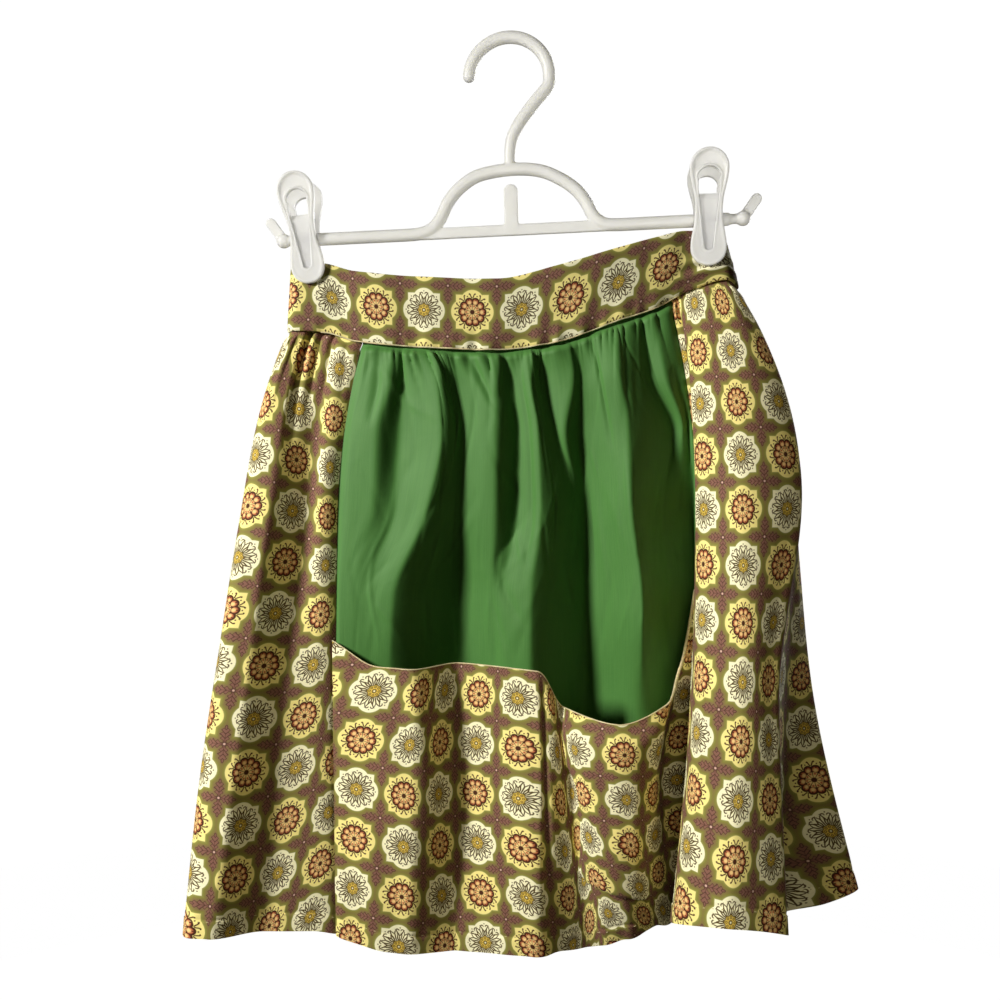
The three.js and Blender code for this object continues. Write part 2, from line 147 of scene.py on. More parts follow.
# The centre panel's folds above the pocket, as places at four heights
FOLD_HEIGHTS = [-212, -243, -292, -347]
CENTRE_FOLDS = table("fold cloth waist x1 y1 x2 y2 x3 y3 x4 y4", [
    ("side_ridge", 20, -67, -76, -11, -83, -13, -86, -13, -99, -12),
    ("side_valley", 32, -59, -68, -6, -70, -6, -73, -10, -89, -13),
    ("first_ridge", 50, -44, -45, -14, -42, -17, -51, -18, -72, -17),
    ("first_valley", 98, -30, -35, -7.5, -29, -8, -31, -5, -34, 8),
    ("middle_ridge", 124, -2, -7, -14, -8, -16, -9, -13, -11, -5),
    ("narrow_valley", 134, 5, 1, -8.5, 4, -8, 3, -5, -5, -8),
    ("second_ridge", 150, 18, 12, -14, 17, -16, 19, -15, 13, -15),
    ("leaf_fall", 190, 27, 21, -7, 28, -8, 39, -2, 36, 1),
    ("leaf_ridge", 198, 40, 38, -13, 34, -11, 42, 1, 40, 4),
    ("second_valley", 206, 46, 43, -9, 42, -4, 46, 3, 46, 8),
    ("third_ridge", 254, 69, 67, -18, 72, -19, 74, -22, 80, -22),
    ("slant_valley", 290, 88, 86, -6, 99, 0, 93, 0, 97, 2),
    ("slant_ridge", 306, 96, 95, -10, 105, -5, 104, 4, 107, 5),
])
POCKET = table("fold cloth xMouth yMouth zMouth xMiddle yMiddle xHem yHem zHem", [
    ("left_seam", 0, -110.8, -14.8, -373, -109.4, -16.8, -106.6, -20.8, -554),
    ("first_ridge", 50, -58, -29, -388, -56, -31, -64, -26, -561),
    ("first_valley", 98, -32, -12, -386, -30, -11, -33, -14, -562),
    ("second_ridge", 150, 18, -33, -387, 20, -34, 16, -25, -559),
    ("second_valley", 206, 33, -26, -409, 39, -24, 47, -12, -557),
    ("sag", 254, 66, -46, -415, 67, -43, 72, -18, -549),
    ("rise", 290, 95, -39, -403, 85, -38, 88, -12, -543),
    ("gap", 311, 103, -4, -389, 93, -10, 94.5, -8, -543.5),
    ("right_seam", 325, 112.6, -1.6, -341, 110.4, -1, 101, 5, -544),
])
# Where the print's columns run on the pocket's cloth at three levels
COLUMN_LEVELS = [0.1, 0.42, 0.95]
POCKET_COLUMNS = table("repeat mouth middle hem", [
    (0, -6, -16, -21),
    (0.6, 12.5, 2, -1),
    (1, 25, 14, 11),
    (1.4, 37.5, 26, 23),
    (2, 57, 43, 46),
    (3, 83, 74, 86),
    (4, 112, 108, 117),
    (5, 135, 135, 148),
    (6, 180, 186, 190),
    (7, 203, 208, 213),
    (8, 223, 229, 235),
    (8.57, 245, 248, 263),
    (9, 257, 260, 276),
    (9.43, 269, 272, 289),
    (10, 289, 292, 306),
    (11, 322, 318, 330),
])
# Height of the print's first row below the origin and the rows' distance, along the cloth
PRINT_ROWS = "cloth first pitch"
LEFT_ROWS = table(PRINT_ROWS, [
    (-97, 193, 32.1), (-48, 198.5, 31.8), (-9, 204.4, 30.5),
])
RIGHT_ROWS = table(PRINT_ROWS, [
    (0, 136, 31.1), (130, 135, 31.1), (175, 137.5, 32),
])
POCKET_ROWS = table(PRINT_ROWS, [
    (0, 372, 30.2), (80, 370.6, 31.4), (110, 373.6, 30.4), (140, 374.4, 29.6),
    (190, 376, 29.8), (225, 380.2, 25.3), (325, 378, 26),
])


def through(knots, values, at, flare=None):
    """A smooth curve through values at knots that never overshoots them."""
    knots, values, at = (np.asarray(a, float) for a in (knots, values, at))
    wide = (-1,) + (1,) * (values.ndim - 1)
    slopes = np.diff(values, axis=0) / np.diff(knots).reshape(wide)
    before, after = slopes[:-1], slopes[1:]
    agree = before * after > 0
    tangents = np.zeros_like(values)
    tangents[1:-1] = np.where(agree, 2 * before * after / np.where(agree, before + after, 1), 0)
    tangents[0] = flare * slopes[0] if flare else 1.5 * slopes[0] - 0.5 * tangents[1]
    tangents[-1] = 1.5 * slopes[-1] - 0.5 * tangents[-2]
    i = np.clip(np.searchsorted(knots, at) - 1, 0, len(knots) - 2)
    width = (knots[i + 1] - knots[i]).reshape(wide)
    f = (at - knots[i]).reshape(wide) / width
    return (
        (2 * f**3 - 3 * f**2 + 1) * values[i]
        + (f**3 - 2 * f**2 + f) * width * tangents[i]
        + (3 * f**2 - 2 * f**3) * values[i + 1]
        + (f**3 - f**2) * width * tangents[i + 1]
    )


def smoothstep(x, low, high):
    f = np.clip((x - low) / (high - low), 0, 1)
    return f * f * (3 - 2 * f)


def eased(count):
    """Numbers from 0 to 1, closer together at both ends."""
    return (1 - np.cos(np.linspace(0, np.pi, count))) / 2


def bell(x, middle, half):
    """A round bump of height 1."""
    return np.exp(-(((x - middle) / half) ** 2))


def run_lengths(points):
    """Distance along a line of points, or down each column of a grid of them."""
    steps = np.linalg.norm(np.diff(points, axis=0), axis=-1)
    return np.cumsum(np.concatenate([np.zeros_like(steps[:1]), steps]), axis=0)


def unit(vectors):
    return vectors / np.maximum(np.linalg.norm(vectors, axis=-1, keepdims=True), 1e-9)


def front_normals(grid):
    return unit(np.cross(np.gradient(grid, axis=0), np.gradient(grid, axis=1)))


BAND_AT = run_lengths(column(BAND, "xLow", "y"))
BAND_AT = BAND_AT - BAND_AT[[row["place"] for row in BAND].index("middle")]


def band_top(at):
    return through(BAND_AT, column(BAND, "xTop", "y", "zTop"), at)


def waist_point(at):
    return through(BAND_AT, column(BAND, "xLow", "y", "zLow"), at)


def skirt_grid(rows, cloth, level):
    """Points of a skirt panel, rows from the waist to the hem and columns from left to right."""
    knots, waist = column(rows, "cloth"), column(rows, "waist")
    start = waist_point(waist)
    sections = np.stack([
        start[:, :2],
        column(rows, "xUpper", "yUpper"),
        column(rows, "xLower", "yLower"),
        column(rows, "xHem", "yHem"),
    ])
    flat = through(LEVELS, sections, level, WAIST_FLARE)
    t = level[:, None]
    height = start[:, 2] * (1 - t) + column(rows, "zHem") * t
    ribs = np.concatenate([flat, height[..., None]], axis=2)
    grid = through(knots, ribs.transpose(1, 0, 2), cloth)
    slip = waist_point(through(knots, waist, cloth)) - through(knots, start, cloth)
    grid += slip[:, None, :] * ((1 - level) ** 4)[None, :, None]
    return grid.transpose(1, 0, 2)


FOLD_EASE = 2.2


def across(places, ribs, cloth, firm):
    """Ribs joined from left to right by round folds, or by crisp ones where firm is 1."""
    soft = through(places, ribs, cloth)
    i = np.clip(np.searchsorted(places, cloth) - 1, 0, len(places) - 2)
    f = ((cloth - places[i]) / (places[i + 1] - places[i]))[:, None, None]
    crisp = ribs[i] * (1 - f) + ribs[i + 1] * f
    step = cloth[1] - cloth[0]
    reach = max(round(FOLD_EASE / step), 1)
    weights = np.array([reach + 1 - abs(k) for k in range(-reach, reach + 1)], float)
    padded = np.concatenate([[crisp[0]] * reach, crisp, [crisp[-1]] * reach])
    rounded = sum(w * padded[k : k + len(crisp)] for k, w in enumerate(weights / weights.sum()))
    rounded[[0, -1]] = crisp[[0, -1]]
    grid = soft + (rounded - soft) * firm[None, :, None]
    return grid.transpose(1, 0, 2)


def centre_grid(rows, cloth, level):
    """Points of the centre panel, with the folds that show above the pocket."""
    ends = column(rows, "cloth")[[0, -1]]
    seams = skirt_grid(rows, ends, level)
    ribs = [seams[:, 0]]
    for fold in CENTRE_FOLDS:
        start = waist_point(np.array([fold["waist"]], float))[0]
        lower = skirt_grid(rows, np.array([fold["cloth"]], float), np.array([2 / 3, 1]))[:, 0]
        shown = [(fold[f"x{k}"], fold[f"y{k}"], z) for k, z in enumerate(FOLD_HEIGHTS, 1)]
        marks = np.array([start, *shown, *lower])
        drop = lower[-1, 2] - start[2]
        flat = through((marks[:, 2] - start[2]) / drop, marks[:, :2], level)
        ribs.append(np.column_stack([flat, start[2] + drop * level]))
    ribs.append(seams[:, 1])
    places = np.concatenate([ends[:1], column(CENTRE_FOLDS, "cloth"), ends[1:]])
    firm = 0.6 - 0.6 * smoothstep(level, 0.5, 0.64)
    return across(places, np.stack(ribs), cloth, firm)


def pocket_grid(cloth, level):
    """Points of the pocket, from its mouth to the hem, with a dip beside the left seam."""
    sections = np.stack([
        column(POCKET, "xMouth", "yMouth"),
        column(POCKET, "xMiddle", "yMiddle"),
        column(POCKET, "xHem", "yHem"),
    ])
    flat = through(POCKET_LEVELS, sections, level)
    t = level[:, None]
    height = column(POCKET, "zMouth") * (1 - t) + column(POCKET, "zHem") * t
    ribs = np.concatenate([flat, height[..., None]], axis=2).transpose(1, 0, 2)
    grid = across(column(POCKET, "cloth"), ribs, cloth, np.full(len(level), 0.5))
    grid[..., 2] = through(column(POCKET, "cloth"), ribs[..., 2], cloth).T
    dip = 4 * bell(cloth, 22, 13)
    grid[..., 2] -= dip[None] * smoothstep(-level, -0.25, 0)[:, None]
    return grid


def print_rows(rows, cloth, grid):
    """The print's rows at each point of a grid, counted in repeats."""
    places = column(rows, "cloth")
    first, pitch = (np.interp(cloth, places, column(rows, name)) for name in ("first", "pitch"))
    return (-grid[..., 2] - first[None]) / pitch[None]


# Rows of a panel start a little under the band and lie closer together below it
UNDER_BAND = -3.5
FINE_STEP = 1.3


def panel_levels(waist_part, last_part, step, last_rows):
    """Levels of a panel's rows: fine below the band, then evenly spaced, then the last rows."""
    upper = np.arange(UNDER_BAND, waist_part, FINE_STEP)
    middle = np.arange(waist_part, last_part, step)
    lower = np.linspace(last_part, SKIRT_LENGTH, last_rows)
    return np.concatenate([upper, middle, lower]) / SKIRT_LENGTH


def from_waist(grid, level):
    """Distance down the cloth from the waist seam."""
    down = run_lengths(grid)
    return down - down[np.argmin(np.abs(level))]


# Relief of the cloth beyond its main folds, in millimetres
def gathers(cloth, below, pitch, seed, height, reach):
    """Pleats that start at the waist seam: round ridges with sharp valleys between them."""
    chance = np.random.default_rng(seed)
    edges = [cloth[0] - 1]
    while edges[-1] < cloth[-1] + 1:
        edges.append(edges[-1] + pitch * chance.uniform(0.5, 1.6))
    edges = np.array(edges)
    count = len(edges) - 1
    tall = height * chance.uniform(0.3, 1.25, count)
    long = reach * chance.choice([0.4, 0.7, 1.1, 2.0], count, p=[0.3, 0.3, 0.25, 0.15])
    below = np.maximum(below, 0)[:, None]
    moved = cloth[None, :] + 0.16 * below * np.sin(cloth / 31 + seed)[None, :]
    i = np.clip(np.searchsorted(edges, moved) - 1, 0, count - 1)
    f = np.clip((moved - edges[i]) / (edges[i + 1] - edges[i]), 0, 1)
    fade = np.exp(-((below / long[i]) ** 1.5)) * (0.2 + 0.8 * smoothstep(below, 0, 6))
    return tall[i] * fade * np.sin(np.pi * f) ** 0.6


def creases(rows, cloth, level):
    """Folds along straight lines on the cloth."""
    relief = np.zeros((len(level), len(cloth)))
    for row in rows:
        f = (level - row["t0"]) / (row["t1"] - row["t0"])
        inside = (f > 0) & (f < 1)
        fade = np.where(inside, np.sin(np.pi * np.clip(f, 0, 1)) ** 0.7, 0)
        middle = row["u0"] + (row["u1"] - row["u0"]) * np.clip(f, 0, 1)
        relief += row["height"] * fade[:, None] * bell(cloth[None, :], middle[:, None], row["half"])
    return relief


def ripple(cloth, down, seed, height, longest):
    """Slow unevenness of washed cotton."""
    chance = np.random.default_rng(seed)
    relief = np.zeros(down.shape)
    for _ in range(14):
        wave = longest * chance.uniform(0.35, 1)
        turn = chance.uniform(-0.3, 0.3)
        phase = chance.uniform(0, 2 * np.pi)
        along = cloth[None, :] * math.cos(turn) + down * math.sin(turn)
        relief += height / 4 * np.sin(2 * np.pi * along / wave + phase)
    return relief


def crumple(cloth, down, seed):
    """Short shallow wrinkles, most of them near upright."""
    chance = np.random.default_rng(seed)
    relief = np.zeros(down.shape)
    for _ in range(190):
        u, d = chance.uniform(cloth[0], cloth[-1]), chance.uniform(5, 230)
        lean = chance.normal(0, 0.35)
        long, wide = chance.uniform(7, 30), chance.uniform(1.4, 4)
        away = (cloth[None, :] - u) - lean * (down - d)
        along = (down - d) / long
        relief += chance.uniform(-0.65, 0.65) * np.exp(-((away / wide) ** 2) - along**2)
    return relief


def seam_tuck(cloth, left, right, depth=1.3):
    """How far back the cloth is drawn where its left or right edge is sewn to its neighbour."""
    reach = 3.0
    tuck = left * bell(cloth, cloth[0], reach) + right * bell(cloth, cloth[-1], reach)
    return depth * tuck[None, :]


def under_band(relief, below, depth, reach):
    """Relief that starts behind the band and comes forward below it."""
    return (relief + depth) * smoothstep(below, 0.5, reach)[:, None] - depth


def hem_fold(cloth, from_hem, seed):
    """The turned hem: a second layer, a groove at its stitches and small puckers."""
    chance = np.random.default_rng(seed)
    pucker = sum(
        np.sin(2 * np.pi * cloth / chance.uniform(9, 19) + chance.uniform(0, 6)) for _ in range(4)
    )
    layer = 0.35 * smoothstep(-from_hem, -HEM_DEPTH - 0.4, -HEM_DEPTH + 0.8)
    groove = 0.4 * bell(from_hem, HEM_DEPTH, 1.1)
    return layer - groove + 0.09 * pucker[None, :] * bell(from_hem, HEM_DEPTH, 6)


# Creases from (u0, t0) to (u1, t1), u along the cloth and t from 0 at the top to 1 at the hem
CREASE = "fold u0 t0 u1 t1 height half"
CENTRE_CREASES = table(CREASE, [
    ("waist_crease", 108, 0.0, 121, 0.1, -1.7, 2.2),
    ("thin_crease", 142, 0.03, 145, 0.4, -0.9, 1.8),
    ("side_crease", 12, 0.0, 15, 0.14, -1.4, 2.4),
    ("third_crease", 226, 0.0, 238, 0.2, -1.2, 2.6),
    ("low_crease", 128, 0.36, 146, 0.47, -0.8, 3),
    ("seam_groove", 316, 0.1, 316, 0.7, -5, 6),
])
LEFT_CREASES = table(CREASE, [
    ("waist_pleat", -80, -0.14, -74, 0.2, -8, 5),
    ("second_pleat", -58, -0.1, -60, 0.14, -2.6, 5),
    ("third_pleat", -38, -0.1, -40, 0.12, -2.0, 4),
])
RIGHT_CREASES = table(CREASE, [
    ("seam_crease", 22, -0.05, 26, 0.4, -2.6, 6),
    ("edge_pinch", 120, 0.3, 122, 1.1, 1.6, 6),
])
POCKET_CREASES = table(CREASE, [
    ("first_stripe", 92, -0.2, 94, 0.9, -1.2, 4),
    ("second_stripe", 159, -0.2, 161, 0.9, -2.2, 5),
    ("sag_fold_one", 214, 0.0, 250, 0.4, 2.0, 6),
    ("sag_fold_two", 222, 0.25, 268, 0.66, 2.2, 7),
])

# Edges of the overhanging fold: x at heights z on its left side, and z at places x along its foot
BAG_SIDE = {-505: 43, -489: 45, -468: 45, -453: 43, -441: 36, -425: 33, -409: 32}
BAG_FOOT = {43: -505, 51: -513, 67: -516, 81: -520, 95: -521}


def bag(x, z):
    """The fold that hangs over below the sagging mouth, 1 inside it."""
    side = x - np.interp(z, list(BAG_SIDE), list(BAG_SIDE.values()))
    foot = z - np.interp(x, list(BAG_FOOT), list(BAG_FOOT.values()))
    return smoothstep(np.minimum(side, foot), -1, 3)


def add_object(name, mesh):
    made = bpy.data.objects.new(name, mesh)
    bpy.context.scene.collection.objects.link(made)
    return made


def smooth(mesh, angle):
    """Smooth shading, apart from edges sharper than an angle in degrees."""
    mesh.shade_smooth()
    mesh.set_sharp_from_angle(angle=math.radians(angle))


def quads(index):
    """Corners of the squares between neighbours in a grid of indices."""
    corners = index[:-1, :-1], index[1:, :-1], index[1:, 1:], index[:-1, 1:]
    return np.stack([corner.ravel() for corner in corners], 1)


def closed_grid(front, back):
    """Vertices and faces of a closed wall between two grids of points."""
    tall, wide = front.shape[:2]
    size = tall * wide
    index = np.arange(size).reshape(tall, wide)
    squares = quads(index)
    faces = [squares, squares[:, [0, 3, 2, 1]] + size]
    for one, two in (
        (index[0, :-1], index[0, 1:]),
        (index[-1, 1:], index[-1, :-1]),
        (index[1:, 0], index[:-1, 0]),
        (index[:-1, -1], index[1:, -1]),
    ):
        faces.append(np.stack([one, two, two + size, one + size], 1))
    vertices = np.concatenate([front.reshape(-1, 3), back.reshape(-1, 3)])
    return vertices, np.concatenate(faces)


def print_object(name, vertices, faces, uv, materials, angle):
    """A piece of cloth that stores the print's coordinates, one pair for each vertex."""
    mesh = bpy.data.meshes.new(name)
    mesh.from_pydata(vertices * MM, [], faces)
    layer = mesh.uv_layers.new(name="print")
    corner = np.empty(len(mesh.loops), np.int32)
    mesh.loops.foreach_get("vertex_index", corner)
    layer.data.foreach_set("uv", uv[corner].astype(np.float32).ravel())
    for material in materials:
        mesh.materials.append(material)
    smooth(mesh, angle)
    return add_object(name, mesh)


def cloth_sheet(name, grid, relief, tuck, uv, face, reverse):
    """A closed sheet of cloth around a grid with relief, its face in front and its reverse behind."""
    grid = grid + front_normals(grid) * relief[..., None]
    grid[..., 1] += tuck
    normal = front_normals(grid)
    half = CLOTH_WALL / 2
    vertices, faces = closed_grid(grid + normal * half, grid - normal * half)
    both_sides = np.concatenate([uv.reshape(-1, 2)] * 2)
    piece = print_object(name, vertices, faces.tolist(), both_sides, (face, reverse), 60)
    face_count = (grid.shape[0] - 1) * (grid.shape[1] - 1)
    kind = np.zeros(len(faces), np.int32)
    kind[face_count : 2 * face_count] = 1
    piece.data.polygons.foreach_set("material_index", kind)
    return piece, grid


CAP_RINGS = 5


def capped(values):
    """Values along a tube, with the first and the last repeated on its domed ends."""
    return np.concatenate([[values[0]] * CAP_RINGS, values, [values[-1]] * CAP_RINGS])


def tube(points, radius, sides, domed=True):
    """Vertices and faces of a round tube along points."""
    points = np.asarray(points, float)
    radius = np.broadcast_to(np.asarray(radius, float), (len(points),))
    tangent = unit(np.gradient(points, axis=0))
    side = unit(np.cross(tangent, [0.0, 1.0, 0.02]))
    up = np.cross(side, tangent)
    if domed:
        turn = np.linspace(0.15, 0.97, CAP_RINGS) * np.pi / 2
        cap_end = points[-1] + tangent[-1] * (radius[-1] * np.sin(turn))[:, None]
        cap_start = points[0] - tangent[0] * (radius[0] * np.sin(turn[::-1]))[:, None]
        radius = np.concatenate([radius[0] * np.cos(turn[::-1]), radius, radius[-1] * np.cos(turn)])
        side, up = capped(side), capped(up)
        points = np.concatenate([cap_start, points, cap_end])
    angle = np.linspace(0, 2 * np.pi, sides, endpoint=False)
    cosine, sine = np.cos(angle)[None, :, None], np.sin(angle)[None, :, None]
    ring = side[:, None, :] * cosine + up[:, None, :] * sine
    vertices = points[:, None, :] + ring * radius[:, None, None]
    count = len(points)
    index = np.arange(count * sides).reshape(count, sides)
    turned = np.roll(index, -1, axis=1)
    faces = np.stack([index[:-1], turned[:-1], turned[1:], index[1:]], 2).reshape(-1, 4).tolist()
    faces.append(index[0][::-1].tolist())
    faces.append(index[-1].tolist())
    return vertices.reshape(-1, 3), faces


def merged(shells):
    """One list of vertices and faces from several."""
    vertices, faces, start = [], [], 0
    for points, polygons in shells:
        vertices.append(np.asarray(points, float))
        faces.extend([[i + start for i in polygon] for polygon in polygons])
        start += len(points)
    return np.concatenate(vertices), faces


def mesh_object(name, vertices, faces, material, angle):
    """A piece joined from shells, with its faces turned outwards."""
    mesh = bpy.data.meshes.new(name)
    mesh.from_pydata(np.asarray(vertices) * MM, [], faces)
    mesh.materials.append(material)
    edit = bmesh.new()
    edit.from_mesh(mesh)
    bmesh.ops.remove_doubles(edit, verts=edit.verts, dist=1e-6)
    bmesh.ops.recalc_face_normals(edit, faces=edit.faces)
    edit.to_mesh(mesh)
    edit.free()
    smooth(mesh, angle)
    return add_object(name, mesh)


def resampled(points, values, step):
    """Values of a line of points at even distances along it."""
    along = run_lengths(points)
    wanted = np.arange(step / 2, along[-1], step)
    return np.stack([np.interp(wanted, along, values[:, k]) for k in range(3)], 1)


STITCH_LONG, STITCH_GAP, STITCH_RADIUS, STITCH_BOW = 1.1, 6.0, 0.2, 0.16


def stitch_row(points, outward):
    """Short rounded stitches along a line on the cloth."""
    places = resampled(points, points, STITCH_GAP)
    tangent = unit(np.gradient(places, axis=0))
    shells = []
    for middle, along, out in zip(places, tangent, unit(resampled(points, outward, STITCH_GAP))):
        f = np.linspace(-0.5, 0.5, 5)[:, None]
        bow = STITCH_BOW * np.cos(np.pi * f)
        shells.append(tube(middle + along * f * STITCH_LONG + out * bow, STITCH_RADIUS, 6))
    return merged(shells)


# Materials
def srgb(red, green, blue):
    """A colour given in the 0 to 255 steps of a picture, as linear light."""
    steps = [c / 255 for c in (red, green, blue)]
    linear = [c / 12.92 if c <= 0.04045 else ((c + 0.055) / 1.055) ** 2.4 for c in steps]
    return (*linear, 1.0)


class Field:
    """A number that varies over a surface, with arithmetic that adds the nodes it needs."""

    def __init__(self, socket):
        self.socket = socket
        self.nodes = socket.id_data.nodes

    def op(self, operation, *others):
        node = self.nodes.new("ShaderNodeMath")
        node.operation = operation
        feed_all(node, dict(enumerate((self, *others))))
        return Field(node.outputs[0])

    def __add__(self, other):
        return self.op("ADD", other)

    def __sub__(self, other):
        return self.op("SUBTRACT", other)

    def __mul__(self, other):
        return self.op("MULTIPLY", other)

    def __abs__(self):
        return self.op("ABSOLUTE")

    def below(self, number):
        return (self * -1) + number

    def least(self, other):
        return self.op("MINIMUM", other)

    def most(self, other):
        return self.op("MAXIMUM", other)

    def ramp(self, low, high, start=0.0, stop=1.0):
        node = self.nodes.new("ShaderNodeMapRange")
        node.interpolation_type = "SMOOTHSTEP"
        feed_all(node, {
            "Value": self, "From Min": low, "From Max": high, "To Min": start, "To Max": stop,
        })
        return Field(node.outputs["Result"])

    def inside(self, soft=0.007):
        """1 where a distance is below zero."""
        return self.ramp(-soft, soft, 1.0, 0.0)

    def near(self, middle, half):
        """1 within a stretch."""
        return (abs(self - middle) - half).inside()

    def line(self, half, soft=0.006):
        """1 along the zero line of a distance."""
        return abs(self).ramp(half - soft, half + soft, 1.0, 0.0)


def feed(slot, value):
    """Gives a node's input a fixed value, or links it to a field or a socket."""
    if isinstance(value, Field):
        value = value.socket
    if isinstance(value, bpy.types.NodeSocket):
        slot.id_data.links.new(value, slot)
    else:
        slot.default_value = value


def feed_all(node, inputs):
    for name, value in inputs.items():
        feed(node.inputs[name], value)


def length(x, y):
    return (x * x + y * y).op("SQRT")


def paint(base, colour, mask):
    """A colour laid over another where a mask is 1. Both may be fixed colours or sockets."""
    node = mask.nodes.new("ShaderNodeMix")
    node.data_type = "RGBA"
    feed(node.inputs["Factor"], mask)
    for name, value in (("A", base), ("B", colour)):
        feed(next(s for s in node.inputs if s.name == name and s.type == "RGBA"), value)
    return next(s for s in node.outputs if s.type == "RGBA")


def tinted(colour, amount):
    """A colour made lighter or darker by a varying amount around 1."""
    node = amount.nodes.new("ShaderNodeVectorMath")
    node.operation = "SCALE"
    feed_all(node, {"Vector": colour, "Scale": amount})
    return node.outputs["Vector"]


def noise(x, y, detail=2.0):
    join = x.nodes.new("ShaderNodeCombineXYZ")
    feed_all(join, {"X": x, "Y": y})
    node = x.nodes.new("ShaderNodeTexNoise")
    feed_all(node, {"Scale": 1.0, "Detail": detail, "Vector": join.outputs["Vector"]})
    return Field(node.outputs["Fac"])


def new_material(name):
    material = bpy.data.materials.new(name)
    material.use_nodes = True
    return material, material.node_tree.nodes["Principled BSDF"]


def axis_fields(vector, *axes):
    """Numbers along the axes of a vector."""
    split = vector.id_data.nodes.new("ShaderNodeSeparateXYZ")
    feed(split.inputs["Vector"], vector)
    return [Field(split.outputs[axis]) for axis in axes]


def print_fields(shader):
    node = shader.id_data.nodes.new("ShaderNodeUVMap")
    node.uv_map = "print"
    return axis_fields(node.outputs["UV"], "X", "Y")


def object_fields(shader):
    node = shader.id_data.nodes.new("ShaderNodeTexCoord")
    return axis_fields(node.outputs["Object"], "X", "Z")


def sector(x, y, count, shift=0.0):
    """Distance out along the nearest of count rays, and sideways from it."""
    out = length(x, y)
    turn = y.op("ARCTAN2", x) * (count / (2 * math.pi)) + (0.5 + shift)
    angle = abs(turn.op("FRACT") - 0.5) * (2 * math.pi / count)
    return out * angle.op("COSINE"), out * angle.op("SINE")


# Colours of the print, of its reverse, of the thread, of the green cloth and of the plastic
CREAM = srgb(250, 246, 212)
LEMON = srgb(246, 232, 150)
BARK = srgb(128, 104, 72)
MOSS = srgb(130, 114, 66)
OLIVE = srgb(130, 126, 60)
LIME = srgb(150, 152, 80)
LEAF = srgb(132, 92, 80)
LEAF_DARK = srgb(74, 44, 38)
LEAF_PALE = srgb(214, 178, 166)
INK = srgb(80, 62, 22)
UMBER = srgb(72, 34, 14)
GOLD = srgb(222, 190, 84)
CORAL = srgb(184, 100, 66)
AMBER = srgb(240, 206, 140)
REVERSE = srgb(224, 212, 174)
THREAD = srgb(196, 188, 140)
GREEN_DARK = srgb(66, 119, 55)
GREEN_LIGHT = srgb(84, 136, 66)
WHITE_DULL = srgb(232, 231, 226)
WHITE_BRIGHT = srgb(244, 243, 239)

# The medallions' lobes in repeats, their petals, and the wave of a leaf's lobes in radians to a repeat
LOBE_OUT, LOBE_RADIUS, MEDALLION_HALF = 0.19, 0.245, 0.335
CREAM_PETALS, YELLOW_PETALS, LEAF_WAVE = 8, 10, 76


def repeat_ground(corner_x, corner_y, edge):
    """Brown at the corners of the repeat and greener round the medallions."""
    colour = paint(BARK, MOSS, length(corner_x, corner_y).ramp(0.18, 0.44))
    colour = paint(colour, OLIVE, edge.ramp(0.03, 0.09, 1.0, 0.0))
    return paint(colour, LIME, edge.ramp(0.012, 0.04, 0.5, 0.0))


def leaf_cross(colour, corner_x, corner_y):
    """Four leaves at each corner of the repeat."""
    for side, along in ((corner_x, corner_y), (corner_y, corner_x)):
        taper = (along * (math.pi / 0.36)).op("SINE")
        lobed = (along * LEAF_WAVE).op("SINE") * 0.26 + 0.78
        rim = (side - taper * lobed * 0.085).most(along - 0.35)
        colour = paint(colour, LEAF, rim.inside())
        veins = ((along - side * 1.1) * LEAF_WAVE).op("SINE").ramp(0.35, 0.9)
        colour = paint(colour, LEAF_DARK, rim.line(0.008).most(veins * rim.inside()) * 0.8)
        spine = (side - 0.006).inside(0.004) * (along - 0.2).inside(0.02)
        colour = paint(colour, LEAF_DARK, spine * 0.6)
    return paint(colour, LEAF_PALE, (length(corner_x, corner_y) - 0.02).inside(0.008))


def cream_medallion(x, y):
    """A small gold rosette in a tangle of dark scrolls."""
    p, q = sector(x, y, CREAM_PETALS)
    p2, q2 = sector(x, y, CREAM_PETALS, 0.5)
    r = length(x, y)
    curl = (p - 0.11) * 0.36 + ((p - 0.11) * 30).op("SINE") * 0.014
    scroll = (q - curl).line(0.0125) * p.near(0.225, 0.115)
    hook = (length(p - 0.315, q - 0.05) - 0.03).line(0.011) * (p - 0.315).below(0).inside(0.02)
    vein = q.line(0.012) * p.near(0.16, 0.075)
    fork = (q - (p - 0.2) * 0.5).line(0.011) * p.near(0.235, 0.035)
    stem = q2.line(0.012) * p2.near(0.2, 0.07)
    tip = (q2 - (p2 - 0.26) * 0.6).line(0.011) * p2.near(0.29, 0.035)
    dot = (length(p - 0.375, q) - 0.012).inside()
    for stroke in (hook, vein, fork, stem, tip, dot):
        scroll = scroll.most(stroke)
    colour = paint(CREAM, INK, scroll)
    petals = length(p - 0.074, q) - 0.054
    colour = paint(colour, GOLD, petals.inside())
    eye = (length(p - 0.085, q) - 0.017).line(0.008).most((r - 0.036).line(0.009))
    colour = paint(colour, INK, petals.line(0.011).most(eye) * 0.85)
    return paint(colour, CREAM, (r - 0.016).inside())


